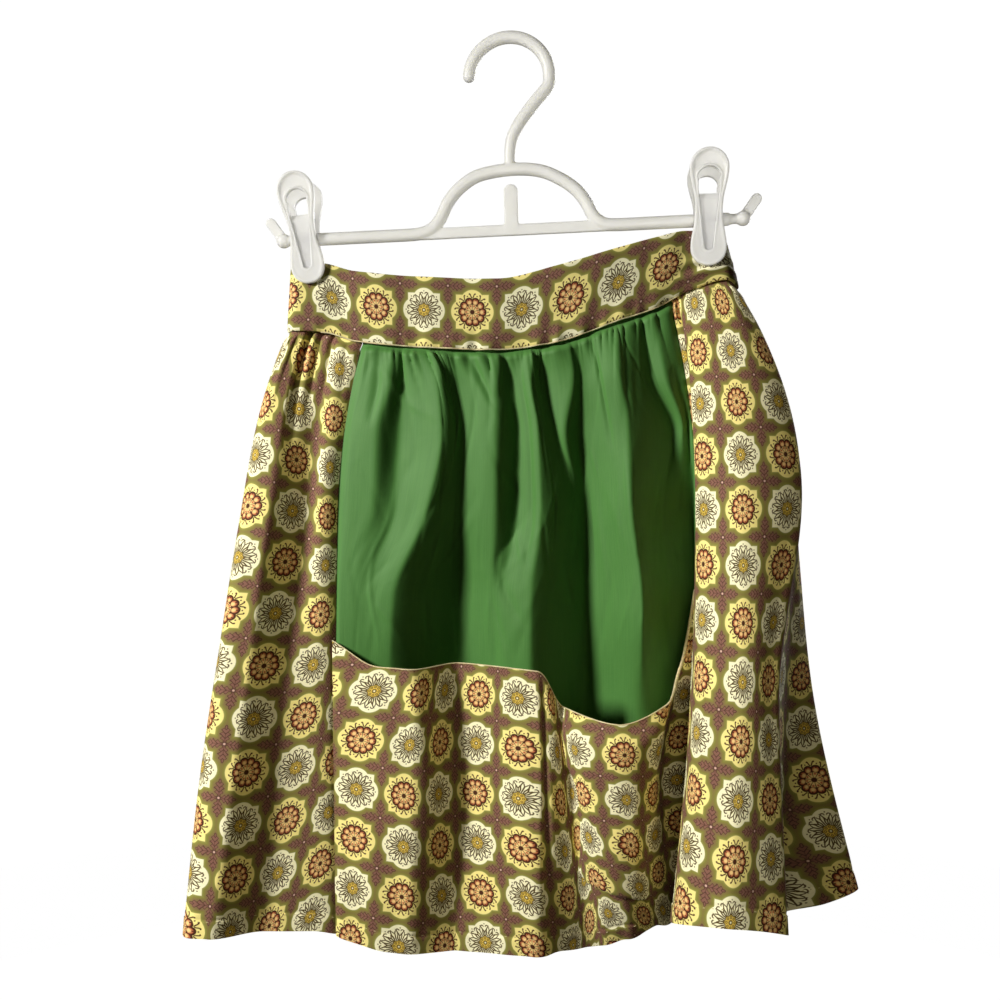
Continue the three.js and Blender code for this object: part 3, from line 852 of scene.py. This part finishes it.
def yellow_medallion(x, y):
    """Ten coral petals round amber rays and a dark eye."""
    p, q = sector(x, y, YELLOW_PETALS)
    p2, q2 = sector(x, y, YELLOW_PETALS, 0.5)
    r = length(x, y)
    petals = length(p - 0.205, q) - 0.07
    colour = paint(LEMON, CORAL, petals.inside())
    colour = paint(colour, AMBER, (length(p - 0.19, q) - 0.036).inside(0.02))
    tendril = (q2 - (p2 - 0.25) * 0.45).line(0.012) * p2.near(0.315, 0.045)
    curl = (length(p2 - 0.352, q2 - 0.058) - 0.016).inside()
    dot = (length(p - 0.32, q) - 0.013).inside()
    notch = q.line(0.010) * p.near(0.255, 0.025)
    tendril = tendril.most(curl).most(dot).most(notch)
    colour = paint(colour, UMBER, petals.line(0.018).most(tendril))
    colour = paint(colour, AMBER, (r - 0.145).inside(0.012))
    colour = paint(colour, CORAL, (length(p - 0.12, q) - 0.02).inside(0.012))
    rays = (q2 - p2 * 0.06).inside(0.005) * p2.near(0.11, 0.06)
    return paint(colour, UMBER, (r - 0.048).inside(0.01).most(rays))


def medallion_print(u, v):
    """Cream and yellow medallions in turn on an olive ground, with leaf crosses between them."""
    cell_u, cell_v = (u + 0.5).op("FLOOR"), (v + 0.5).op("FLOOR")
    x, y = u - cell_u, v - cell_v
    yellow = ((cell_u + cell_v) * 0.5).op("FRACT") * 2
    ax, ay = abs(x), abs(y)
    lobes = length(ax - LOBE_OUT, ay).least(length(ax, ay - LOBE_OUT)) - LOBE_RADIUS
    edge = lobes.least(ax.most(ay) - MEDALLION_HALF)
    corner_x, corner_y = ax.below(0.5), ay.below(0.5)
    colour = repeat_ground(corner_x, corner_y, edge)
    colour = leaf_cross(colour, corner_x, corner_y)
    medallion = paint(cream_medallion(x, y), yellow_medallion(x, y), yellow)
    return paint(colour, medallion, edge.inside(0.009))


def weave(u, v):
    """Height of a plain weave with uneven threads, around 0.5."""
    warp = (u * (math.pi * THREADS)).op("SINE")
    weft = (v * (math.pi * THREADS)).op("SINE")
    slub = noise(u * 1.6, v * 120) + noise(u * 120, v * 1.6)
    return warp * weft * 0.32 + slub * 0.5


def bump(shader, height, distance, strength):
    node = height.nodes.new("ShaderNodeBump")
    feed_all(node, {"Distance": distance, "Strength": strength, "Height": height})
    feed(shader.inputs["Normal"], node.outputs["Normal"])


def faded_print(u, v):
    """The print as it shows through on the cloth's reverse."""
    ghost = noise(u, v).ramp(0.2, 0.9, 0.16, 0.3)
    return paint(REVERSE, medallion_print(u, v), ghost)


def green_dye(u, v):
    """Two greens in fine upright streaks."""
    return paint(GREEN_DARK, GREEN_LIGHT, noise(u * 46, v * 1.1))


def cotton(name, colour, rough, sheen):
    """Washed cotton with a weave, cloudy uneven tone, painted shading in the weave's hollows and the
    colour that a function gives.
    """
    material, shader = new_material(name)
    u, v = print_fields(shader)
    height = weave(u, v)
    cloudy = noise(u * 0.9, v * 0.9, 3.0)
    # Painted shading: the colour is darker in the weave's hollows and lighter on its raised threads; the
    # cloudy noise is uneven tone.
    painted_shade_and_tone = height * 0.16 + cloudy * 0.14 + 0.85
    feed_all(shader, {
        "Base Color": tinted(colour(u, v), painted_shade_and_tone),
        "Roughness": height * -0.12 + (rough + 0.06),
        "Sheen Weight": sheen,
        "Sheen Roughness": 0.45,
        "Specular IOR Level": 0.28,
    })
    bump(shader, height + noise(u * 7, v * 7, 3.0) * 1.4, 0.00012, 0.55)
    return material


def stitch_thread():
    material, shader = new_material("cotton_thread")
    x, z = object_fields(shader)
    twist = ((x + z) * 9000).op("SINE")
    # Painted shading: the thread is darker in the grooves of its twist; the noise is uneven tone.
    painted_shade_and_tone = twist * 0.12 + noise(x * 90, z * 90) * 0.3 + 0.8
    feed_all(shader, {"Base Color": tinted(THREAD[:3], painted_shade_and_tone), "Roughness": 0.7})
    bump(shader, twist, 0.00006, 0.5)
    return material


def white_plastic():
    material, shader = new_material("white_plastic_moulding")
    x, z = object_fields(shader)
    cloudy = noise(x * 60, z * 60, 3.0)
    grain = noise(x * 2600, z * 2600)
    feed_all(shader, {
        "Base Color": paint(WHITE_DULL, WHITE_BRIGHT, cloudy),
        "Roughness": cloudy * 0.14 + grain * 0.08 + 0.3,
        "Subsurface Weight": 0.75,
        "Subsurface Radius": (1.0, 1.0, 0.92),
        "Subsurface Scale": 0.005,
    })
    bump(shader, grain * 0.3 + cloudy, 0.0001, 0.25)
    return material


PRINT = cotton("printed_cotton_face", medallion_print, 0.78, 0.04)
BACK = cotton("printed_cotton_reverse", faded_print, 0.84, 0.1)
GREEN = cotton("green_cotton_face", green_dye, 0.6, 0.06)
PLASTIC = white_plastic()
STITCH = stitch_thread()


def dress(piece, slot, *nodes):
    """Puts a piece on the part's one body and hides the nodes that it replaces. The slot is not used."""
    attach(piece, "root")
    if nodes:
        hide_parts(*nodes)
    return piece


# The waistband, a doubled strip with soft edges. Its print's first column lies beside the left clip.
BAND_FIRST = -105.5
RIGHT_CLIP_AT = 128


def band_relief(at, drop):
    """Puckers at the gathered seam, slow ripples and three folds under the right clip."""
    chance = np.random.default_rng(5)
    relief = np.zeros((len(drop), len(at)))
    for _ in range(60):
        place = chance.uniform(-120, 110)
        tall = chance.uniform(0.1, 0.9)
        pucker = tall * bell(at, place, chance.uniform(2.2, 4.5))
        relief += pucker[None] * smoothstep(drop, 0.62, 1.0)[:, None]
    relief += ripple(at, np.repeat(drop[:, None] * BAND_DEPTH, len(at), 1), 8, 0.5, 60)
    for place, tall in ((0.52, 1.7), (0.64, -1.5), (0.76, 1.6)):
        relief += tall * bell(drop, place, 0.05)[:, None] * bell(at, RIGHT_CLIP_AT, 16)[None]
    return relief


def waistband():
    at = np.linspace(BAND_AT[0], BAND_AT[-1], 300)
    top, low = band_top(at), waist_point(at)
    drop = eased(34)
    middle = top[None] + (low - top)[None] * drop[:, None, None]
    normal = front_normals(middle)
    half = BAND_WALL / 2 * np.sqrt(np.maximum(1 - np.abs(2 * drop - 1) ** 12, 0))
    middle = middle + normal * band_relief(at, drop)[..., None]
    wall = normal * half[:, None, None]
    vertices, faces = closed_grid(middle + wall, middle - wall)
    along = run_lengths((top + low) / 2)
    u = (along - np.interp(BAND_FIRST, at, along)) / BAND_PITCH
    v = (drop * BAND_DEPTH - 21) / PITCH
    uv = np.stack(np.meshgrid(u, v), 2).reshape(-1, 2)
    both_sides = np.concatenate([uv, uv])
    piece = print_object("waistband_cloth", vertices, faces.tolist(), both_sides, [PRINT], 80)
    return piece, at, middle, normal


def side_panel(name, rows, crease_rows, row_table, sewn, pitch, full, seed):
    """A printed side panel, sewn at its left or right edge and gathered where it is full."""
    knots = column(rows, "cloth")
    cloth = np.linspace(knots[0], knots[-1], round((knots[-1] - knots[0]) / 1.9) + 1)
    level = panel_levels(40, SKIRT_LENGTH - 16, 2.3, 20)
    grid = skirt_grid(rows, cloth, level)
    down = from_waist(grid, level)
    from_hem = down[-1] - down
    below = level * SKIRT_LENGTH
    along = through(LEVELS, column(rows, "p0", "p1", "p2", "p3").T, level)
    repeats = through(knots, along.T, cloth).T
    uv = np.stack([repeats, print_rows(row_table, cloth, grid)], 2)
    relief = gathers(cloth, below, pitch, seed, 1.5, 18) * smoothstep(cloth, *full)[None]
    relief = under_band(relief, below, 1.5, 7)
    relief = relief + creases(crease_rows, cloth, level)
    relief = relief + ripple(cloth, down, seed + 1, 0.9, 85) * smoothstep(down, 0, 40)
    relief = relief + hem_fold(cloth, from_hem, seed + 2)
    tuck = seam_tuck(cloth, sewn == "left", sewn == "right")
    return *cloth_sheet(name, grid, relief, tuck, uv, PRINT, BACK), from_hem


def centre_panel():
    """The gathered green panel, which ends behind the pocket's hem."""
    pocket_rows = [row for row in POCKET if row["fold"] != "gap"]
    rows = [
        dict(row, xHem=hem["xHem"], yHem=hem["yHem"] + POCKET_GAP, zHem=hem["zHem"])
        for row, hem in zip(CENTRE_PANEL, pocket_rows)
    ]
    cloth = np.linspace(0, CENTRE_WIDTH, 321)
    level = panel_levels(44, 212, 2.2, 30)
    grid = centre_grid(rows, cloth, level)
    down = from_waist(grid, level)
    below = level * SKIRT_LENGTH
    uv = np.stack([np.broadcast_to(cloth / PITCH, down.shape), down / PITCH], 2)
    waist = np.interp(0, level, np.arange(len(level)))
    along = run_lengths(grid[round(waist)])
    relief = gathers(along, below, 5, 3, 2.2, 12) + gathers(along, below, 10, 4, 2.6, 24)
    relief = relief + creases(CENTRE_CREASES, cloth, level) + crumple(cloth, down, 6)
    free_sides = smoothstep(cloth, 0, 10) * smoothstep(-cloth, -CENTRE_WIDTH, 10 - CENTRE_WIDTH)
    shown = smoothstep(-level, -0.56, -0.44)
    relief = under_band(relief * free_sides[None] * shown[:, None], below, 1.6, 6)
    tuck = seam_tuck(cloth, True, True)
    return cloth_sheet("centre_panel_cloth", grid, relief, tuck, uv, GREEN, GREEN)[0]


def pocket():
    """The wide patch pocket, with a fold that hangs over below its sagging mouth."""
    cloth = np.linspace(0, CENTRE_WIDTH, 181)
    mouth_part, hem_part = 0.06, 0.9
    level = np.concatenate([
        np.linspace(0, mouth_part, 9)[:-1],
        np.linspace(mouth_part, hem_part, 72)[:-1],
        np.linspace(hem_part, 1, 20),
    ])
    grid = pocket_grid(cloth, level)
    from_hem = run_lengths(grid[::-1])[::-1]
    marks = through(COLUMN_LEVELS, column(POCKET_COLUMNS, "mouth", "middle", "hem").T, level)
    repeats = np.stack([through(row, column(POCKET_COLUMNS, "repeat"), cloth) for row in marks])
    uv = np.stack([repeats, print_rows(POCKET_ROWS, cloth, grid)], 2)
    relief = creases(POCKET_CREASES, cloth, level) + ripple(cloth, from_hem, 9, 0.8, 70)
    overhang = BAG_DEPTH * bag(grid[..., 0], grid[..., 2])
    before_seam = smoothstep(-cloth, -294, -264)
    relief = relief + overhang * before_seam[None]
    relief = relief + hem_fold(cloth, from_hem, 10)
    relief = relief * smoothstep(level, 0, 0.1)[:, None]
    tuck = seam_tuck(cloth, True, True, 0.8)
    return *cloth_sheet("pocket_cloth", grid, relief, tuck, uv, PRINT, BACK), from_hem


def hem_stitches(name, grid, from_hem):
    """A row of hand stitches along the top of the hem."""
    r = int(np.argmin(np.abs(from_hem.mean(axis=1) - STITCHES_UP)))
    out = front_normals(grid)[r]
    line = grid[r] + out * (CLOTH_WALL / 2 + 0.02)
    vertices, faces = stitch_row(line, out)
    return dress(mesh_object(name, vertices, faces, STITCH, 50), "printed_cotton")


band_piece, band_at, band_grid, band_out = waistband()
left_piece, left_cloth, left_hem = side_panel(
    "left_side_panel_cloth", LEFT_PANEL, LEFT_CREASES, LEFT_ROWS,
    sewn="right", pitch=11, full=(-150, -110), seed=12,
)
right_piece, right_cloth, right_hem = side_panel(
    "right_side_panel_cloth", RIGHT_PANEL, RIGHT_CREASES, RIGHT_ROWS,
    sewn="left", pitch=15, full=(170, 120), seed=14,
)
centre_piece = centre_panel()
pocket_piece, pocket_cloth, pocket_hem = pocket()

dress(band_piece, "printed_cotton", "waistband")
dress(left_piece, "printed_cotton", "left_side_panel")
dress(right_piece, "printed_cotton", "right_side_panel")
dress(centre_piece, "green_cotton", "centre_panel")
dress(pocket_piece, "printed_cotton", "pocket")

left_stitches = hem_stitches("left_hem_stitches", left_cloth, left_hem)
right_stitches = hem_stitches("right_hem_stitches", right_cloth, right_hem)
pocket_stitches = hem_stitches("pocket_hem_stitches", pocket_cloth, pocket_hem)


# Narrow rolled edges at the pocket's mouth and under the band, which show the cloth's pale reverse
def pale_edge(name, line, radius):
    sides = 10
    vertices, faces = tube(line, radius, sides)
    along = capped(run_lengths(line) / PITCH)
    around = np.linspace(0, 0.17, sides)
    uv = np.stack(np.meshgrid(along, around, indexing="ij"), 2).reshape(-1, 2)
    return dress(print_object(name, vertices, faces, uv, [BACK], 60), "printed_cotton")


mouth_at = np.linspace(0, CENTRE_WIDTH, pocket_cloth.shape[1])
mouth = pale_edge("pocket_mouth_edge", pocket_cloth[0], 0.42 + 0.5 * smoothstep(mouth_at, 285, 305))
# The band's lower edge shows between the clips
seen = (band_at > -114) & (band_at < 112)
band_edge = pale_edge("waistband_lower_edge", (band_grid[-1] + band_out[-1] * 0.25)[seen], 0.5)


# The hanger, one moulding of rods with soft joints
ROD_SIDES = 24
BAR_END, BAR_END_RADIUS, BALL_RADIUS = 9, 3.1, 4.6
TAIL_LONG, TAIL_HALF, TAIL_LEAN, TAIL_WALL, TAIL_BACK = 18, 3.3, 0.62, 3.2, 1.5
STEM_LOW, STEM_HIGH, STEM_RADIUS = -74, -52, 3.4


def spline(points, steps):
    """A smooth line through points in the hanger's plane."""
    points = np.array([(x, 0, z) for x, z in points], float)
    padded = np.concatenate([[2 * points[0] - points[1]], points, [2 * points[-1] - points[-2]]])
    line = []
    for i in range(len(points) - 1):
        a, b, c, d = padded[i : i + 4]
        for f in np.linspace(0, 1, steps, endpoint=False):
            square, cube = 2 * a - 5 * b + 4 * c - d, 3 * b - a - 3 * c + d
            line.append(0.5 * (2 * b + (c - a) * f + square * f**2 + cube * f**3))
    line.append(points[-1])
    return np.array(line)


def hook_line():
    """The hook's round and its stem down to the arch."""
    angle = np.linspace(0.97 * np.pi, -np.pi / 12, 16)
    x, z = HOOK_CENTRE
    arc = [(x + HOOK_RADIUS * math.cos(a), z + HOOK_RADIUS * math.sin(a)) for a in angle]
    stem = [(17.6, -33.5), (11, -41), (4, -50), (-1, -59), (-2.8, -68), (-3, ARCH_TOP)]
    return spline(arc + stem, 8)


def rod_line():
    """The bar, which bends up into the arch and down again."""
    left = [
        (-68, -BAR_DROP), (-60, -116.4), (-53, -113.8), (-47.3, -107.3),
        (-41.9, -97), (-34, -88.4), (-22, -81.7),
    ]
    right = [
        (15.5, -81), (28.6, -87), (38, -94.2), (44, -102.4),
        (48, -110.4), (53.5, -115.4), (61, -116.9),
    ]
    flat_left = [(BAR_LEFT, -BAR_DROP), (-115, -BAR_DROP), (-82, -BAR_DROP)]
    flat_right = [(82, -BAR_DROP), (115, -BAR_DROP), (BAR_RIGHT, -BAR_DROP)]
    return spline(flat_left + left + [(-2, ARCH_TOP - 0.2)] + right + flat_right, 10)


def slab(outline, wall, y=0.0):
    """A flat plate with the given outline in the hanger's plane."""
    outline = np.asarray(outline, float)
    count = len(outline)
    ring = np.stack([outline[:, 0], np.zeros(count), outline[:, 1]], 1)
    vertices = np.concatenate([ring + [0, y - wall / 2, 0], ring + [0, y + wall / 2, 0]])
    faces = [list(range(count)), list(range(2 * count - 1, count - 1, -1))]
    for i in range(count):
        j = (i + 1) % count
        faces.append([j, i, i + count, j + count])
    return vertices, faces


def stadium(x, z, long, half, lean):
    """Outline of a bar with round ends that starts at a point and leans from upright."""
    angle = np.linspace(0, np.pi, 13)
    upper = [(half * math.cos(a), long - half + half * math.sin(a)) for a in angle]
    lower = [(-half * math.cos(a), -half * math.sin(a)) for a in angle]
    turn = Matrix.Rotation(-lean, 2)
    return [tuple(turn @ Vector(p) + Vector((x, z))) for p in upper + lower]


def ball(x, z, radius):
    f = np.linspace(-0.98, 0.98, 15)
    points = np.stack([x + radius * f, np.zeros(len(f)), np.full(len(f), z)], 1)
    return tube(points, radius * np.sqrt(1 - f**2), ROD_SIDES, domed=False)


def hanger_frame():
    """Hook, bar, the flat web under the arch, the peg in it and an upturned tail at each end."""
    bar, hook = rod_line(), hook_line()
    ends = (bar[:, 0] > BAR_RIGHT - BAR_END) | (bar[:, 0] < BAR_LEFT + BAR_END)
    hook_radius = np.interp(hook[:, 2], [STEM_LOW, STEM_HIGH], [STEM_RADIUS, ROD_RADIUS + 0.55])
    web = [(-60, -120.6), (60, -120.6), (60, -113.6), (-60, -113.6)]
    peg = stadium(-2.8, -116, 27.4, 4.5, 0)
    shells = [
        tube(hook, hook_radius, ROD_SIDES),
        tube(bar, np.where(ends, BAR_END_RADIUS, BAR_RADIUS + 0.25), ROD_SIDES),
        slab(web, 3.4),
        slab(peg, 3.8),
    ]
    for x, outward in ((BAR_LEFT, -1), (BAR_RIGHT, 1)):
        tail = stadium(x, -BAR_DROP, TAIL_LONG, TAIL_HALF, outward * TAIL_LEAN)
        shells.append(ball(x, -BAR_DROP, BALL_RADIUS))
        shells.append(slab(tail, TAIL_WALL, TAIL_BACK))
    vertices, faces = merged(shells)
    made = mesh_object("hanger_moulding", vertices, faces, PLASTIC, 60)
    made.data.transform(Matrix.Rotation(math.radians(-BAR_TILT), 4, "Y"))
    fused = made.modifiers.new("fused", "REMESH")
    fused.mode = "VOXEL"
    fused.voxel_size = 0.62 * MM
    softened = made.modifiers.new("eased", "SMOOTH")
    softened.factor = 0.5
    softened.iterations = 6
    apply_modifiers(made)
    made.data.shade_smooth()
    return dress(made, "white_plastic", "hanger_frame")


def apply_modifiers(piece):
    graph = bpy.context.evaluated_depsgraph_get()
    graph.update()
    applied = bpy.data.meshes.new_from_object(piece.evaluated_get(graph))
    piece.modifiers.clear()
    piece.data = applied


# The clips' jaws, drawn upright with the bar's middle at the origin
def bezier(a, b, c, d):
    f = np.linspace(0, 1, 40)[:, None]
    a, b, c, d = (np.array(p, float) for p in (a, b, c, d))
    return (1 - f) ** 3 * a + 3 * (1 - f) ** 2 * f * b + 3 * (1 - f) * f**2 * c + f**3 * d


def jaw_half_outline():
    """The jaw's right edge, from its pad up to the top of its loop."""
    loop = JAW_RISE - JAW_LOOP_RADIUS
    pad = JAW_PAD - JAW_DROP
    angle = np.linspace(0, np.pi / 2, 40)
    arc = np.stack([JAW_LOOP_RADIUS * np.cos(angle), loop + JAW_LOOP_RADIUS * np.sin(angle)], 1)
    return np.concatenate([
        bezier((0, -JAW_DROP), (6.5, -JAW_DROP), (JAW_PAD, pad - 6), (JAW_PAD, pad)),
        bezier((JAW_PAD, pad), (JAW_PAD, pad + 9), (JAW_WAIST, -6), (JAW_WAIST, 5)),
        bezier((JAW_WAIST, 5), (JAW_WAIST, 15), (JAW_LOOP_RADIUS, loop - 9), (JAW_LOOP_RADIUS, loop)),
        arc,
    ])


KEY_TIP, KEY_TOP, KEY_RADIUS, KEY_TIP_RADIUS = -19.2, 30.0, 6.9, 1.6
WEDGE_TOP = 14.5


def keyhole(z):
    """Half width of the opening: round at the top, tapering to a narrow tip."""
    centre = KEY_TOP - KEY_RADIUS
    round_top = np.sqrt(np.maximum(KEY_RADIUS**2 - (z - centre) ** 2, 0))
    sides = np.interp(z, [KEY_TIP, 17], [2.3, 6.3])
    end = KEY_TIP_RADIUS
    tip = np.sqrt(np.maximum(end**2 - (np.minimum(z - KEY_TIP, end) - end) ** 2, 0)) / end
    wide = np.where(z > centre, round_top, np.minimum(sides, KEY_RADIUS)) * tip
    return np.where((z > KEY_TIP) & (z < KEY_TOP), wide, 0)


def distance_to(outline, x, z):
    """Distance from each point to the nearest point of an outline."""
    dx = x[..., None] - outline[:, 0]
    dz = z[..., None] - outline[:, 1]
    return np.sqrt(dx * dx + dz * dz).min(axis=-1)


def eased_rows(*stops):
    """Heights of rows in stretches, closer together at the ends of each."""
    rows = [a + (b - a) * eased(count) for a, b, count in stops]
    return np.unique(np.round(np.concatenate(rows), 5))


def jaw_half(x, depth, z, hole, side):
    """One side of the jaw's ring, open along its middle line where there is no hole."""
    tall, wide = x.shape
    size = tall * wide
    index = np.arange(size).reshape(tall, wide)
    top = np.stack([side * x, depth, z], 2).reshape(-1, 3)
    base = np.stack([side * x, np.zeros_like(x), z], 2).reshape(-1, 3)
    squares = quads(index)
    faces = np.concatenate([squares[:, [0, 3, 2, 1]], squares + size]).tolist()
    for r in range(tall - 1):
        one, two = index[r, -1], index[r + 1, -1]
        faces.append([one, one + size, two + size, two])
        if hole[r] > 0 or hole[r + 1] > 0:
            one, two = index[r, 0], index[r + 1, 0]
            faces.append([one, two, two + size, one + size])
    return np.concatenate([top, base]), faces


def jaw_ring():
    """The two halves of the jaw's ring, as (x, depth, z) with depth outwards."""
    outline = jaw_half_outline()
    z = eased_rows(
        (-JAW_DROP, KEY_TIP, 16), (KEY_TIP, 8, 26), (8, KEY_TOP, 34), (KEY_TOP, JAW_RISE, 18)
    )
    wide = np.interp(z, outline[:, 1], outline[:, 0])
    hole = keyhole(z)
    s = eased(19)
    x = hole[:, None] + (wide - hole)[:, None] * s
    zz = np.repeat(z[:, None], len(s), 1)
    dense = np.linspace(KEY_TIP, KEY_TOP, 300)
    inner = np.stack([keyhole(dense), dense], 1)
    outer_gap, inner_gap = distance_to(outline, x, zz), distance_to(inner, x, zz)
    pan = smoothstep(outer_gap, 1.5, 2.3) * smoothstep(inner_gap, 0.9, 1.6)
    depth = JAW_WALL - 0.75 * pan * (0.35 + 0.65 * smoothstep(zz, -6, 6))
    depth = depth - 0.5 * pan * smoothstep(zz, 26, 31)
    for gap, radius in ((outer_gap, 1.1), (inner_gap, 0.5)):
        depth = depth - (radius - np.sqrt(np.maximum(radius**2 - np.maximum(radius - gap, 0) ** 2, 0)))
    return [jaw_half(x, depth, zz, hole, side) for side in (1, -1)]


def wedge_floor():
    """The recessed floor in the lower part of the keyhole."""
    z = np.linspace(KEY_TIP - 0.2, WEDGE_TOP, 24)
    x = (np.maximum(keyhole(z), 1.2) + 0.35)[:, None] * np.linspace(-1, 1, 9)
    zz = np.repeat(z[:, None], x.shape[1], 1)
    floor = np.full(x.shape, JAW_WALL - 1.35) - 1.5 * smoothstep(zz, 11, WEDGE_TOP)
    front = np.stack([x, floor, zz], 2)
    back = np.stack([x, np.maximum(floor - 1.2, 0.02), zz], 2)
    return closed_grid(front, back)


def jaw(name, place, lean, frontwards):
    """A clip's front or back jaw, bent round the bar. The back one has a smaller pad."""
    vertices, faces = merged([*jaw_ring(), wedge_floor()])
    x, depth, z = vertices.T
    near = smoothstep(-z, -2, 14)
    inner = through([-JAW_DROP, -14, 0, JAW_RISE], [2.6, 2.6, BAR_RADIUS + 0.35, 10.5], z)
    if frontwards:
        y = -(inner + depth)
    else:
        inner = inner - BACK_PAD_REACH * near
        x = x * (1 + (BACK_PAD_SHARE - 1) * near)
        y = inner + depth
    made = mesh_object(name, np.stack([x, y, z], 1), faces, PLASTIC, 42)
    lift = -BAR_DROP + place * math.tan(math.radians(BAR_TILT))
    made.data.transform(Matrix.Rotation(math.radians(-lean), 4, "Y"))
    made.data.transform(Matrix.Translation(Vector((place, 0, lift)) * MM))
    return dress(made, "white_plastic", name + "_jaw")


mouldings = [hanger_frame()]
for side, place, lean in (("left", -131.8, 8), ("right", 120.5, 0)):
    for face in ("front", "back"):
        mouldings.append(jaw(f"clip_{side}_{face}", place, lean, face == "front"))
prints = [left_piece, right_piece, pocket_piece, mouth, left_stitches, right_stitches, pocket_stitches]
cloths = [band_piece, band_edge, centre_piece, *prints]


# Studio, in metres: a white room all round, firm keys from the upper left and weaker fills
FLOOR, FLOOR_RADIUS, CORNER_RADIUS, WALL_TOP = -1.0, 1.7, 0.6, 2.0


def studio_room():
    """A round floor and wall with a soft corner between them, white from every side."""
    angle = np.linspace(0, np.pi / 2, 9)
    profile = [(0.001, FLOOR), (0.8, FLOOR), (FLOOR_RADIUS, FLOOR)]
    corner = FLOOR + CORNER_RADIUS
    profile += [
        (FLOOR_RADIUS + CORNER_RADIUS * math.sin(a), corner - CORNER_RADIUS * math.cos(a)) for a in angle
    ]
    profile += [(FLOOR_RADIUS + CORNER_RADIUS, WALL_TOP)]
    turns = 72
    ring = np.linspace(0, 2 * np.pi, turns, endpoint=False)
    vertices = [(r * math.cos(a), r * math.sin(a), z) for r, z in profile for a in ring]
    faces = [list(range(turns))]
    for i in range(len(profile) - 1):
        for k in range(turns):
            j = (k + 1) % turns
            faces.append([i * turns + k, i * turns + j, (i + 1) * turns + j, (i + 1) * turns + k])
    mesh = bpy.data.meshes.new("studio_room")
    mesh.from_pydata(vertices, [], faces)
    mesh.shade_smooth()
    material, shader = new_material("studio_paint")
    feed_all(shader, {
        "Base Color": (0.9, 0.9, 0.89, 1),
        "Roughness": 0.9,
        "Emission Color": (1, 1, 1, 1),
        "Emission Strength": 1.0,
    })
    mesh.materials.append(material)
    room = add_object("studio_room", mesh)
    room.visible_diffuse = False
    room.visible_glossy = False
    room.visible_shadow = False


def area_light(name, place, aim, size, power, pieces, tint=(1, 1, 1)):
    """A soft round lamp that lights the given pieces."""
    light = bpy.data.lights.new(name, "AREA")
    light.shape = "DISK"
    light.size = size
    light.energy = power
    light.color = tint
    lamp = bpy.data.objects.new(name, light)
    lamp.location = place
    lamp.rotation_euler = (Vector(aim) - Vector(place)).to_track_quat("-Z", "Y").to_euler()
    lamp.visible_camera = False
    lit = bpy.data.collections.new(name + "_pieces")
    for piece in pieces:
        lit.objects.link(piece)
    lamp.light_linking.receiver_collection = lit
    bpy.context.scene.collection.objects.link(lamp)


studio_room()
MIDDLE = (0, 0, -0.33)
KEY = (-1.26, -0.79, 0.27)
area_light("cloth_key", KEY, MIDDLE, 0.28, 34, cloths, (1, 0.97, 0.86))
area_light("print_fill", (0.05, -1.5, 0.2), MIDDLE, 0.8, 4.2, prints, (1, 0.88, 0.62))
area_light("plastic_key", KEY, MIDDLE, 0.4, 18, mouldings, (1, 0.99, 0.96))
area_light("plastic_fill", (0.25, -1.4, -0.7), MIDDLE, 1.2, 14, mouldings, (1, 0.99, 0.96))
area_light("back_fill", (0.8, 1.35, 0.3), MIDDLE, 1.2, 20, cloths + mouldings)
world = bpy.data.worlds.new("studio_air")
world.use_nodes = True
air = world.node_tree.nodes["Background"]
feed_all(air, {"Color": (1, 0.92, 0.6, 1), "Strength": 0.042})
bpy.context.scene.world = world
bpy.context.scene.view_settings.view_transform = "Standard"

# Camera at the photograph's viewing angle
AZIMUTH, DISTANCE = math.radians(6), 0.66
SENSOR, LENS_SHARE = 36, 1.056
TARGET = Vector((-0.0075, 0, -0.2856))
camera = bpy.data.cameras.new("camera")
camera.sensor_width = SENSOR
camera.lens = SENSOR * LENS_SHARE
viewer = bpy.data.objects.new("camera", camera)
viewer.location = TARGET + Vector((math.sin(AZIMUTH), -math.cos(AZIMUTH), 0)) * DISTANCE
viewer.rotation_euler = (math.pi / 2, 0, AZIMUTH)
bpy.context.scene.collection.objects.link(viewer)
bpy.context.scene.camera = viewer
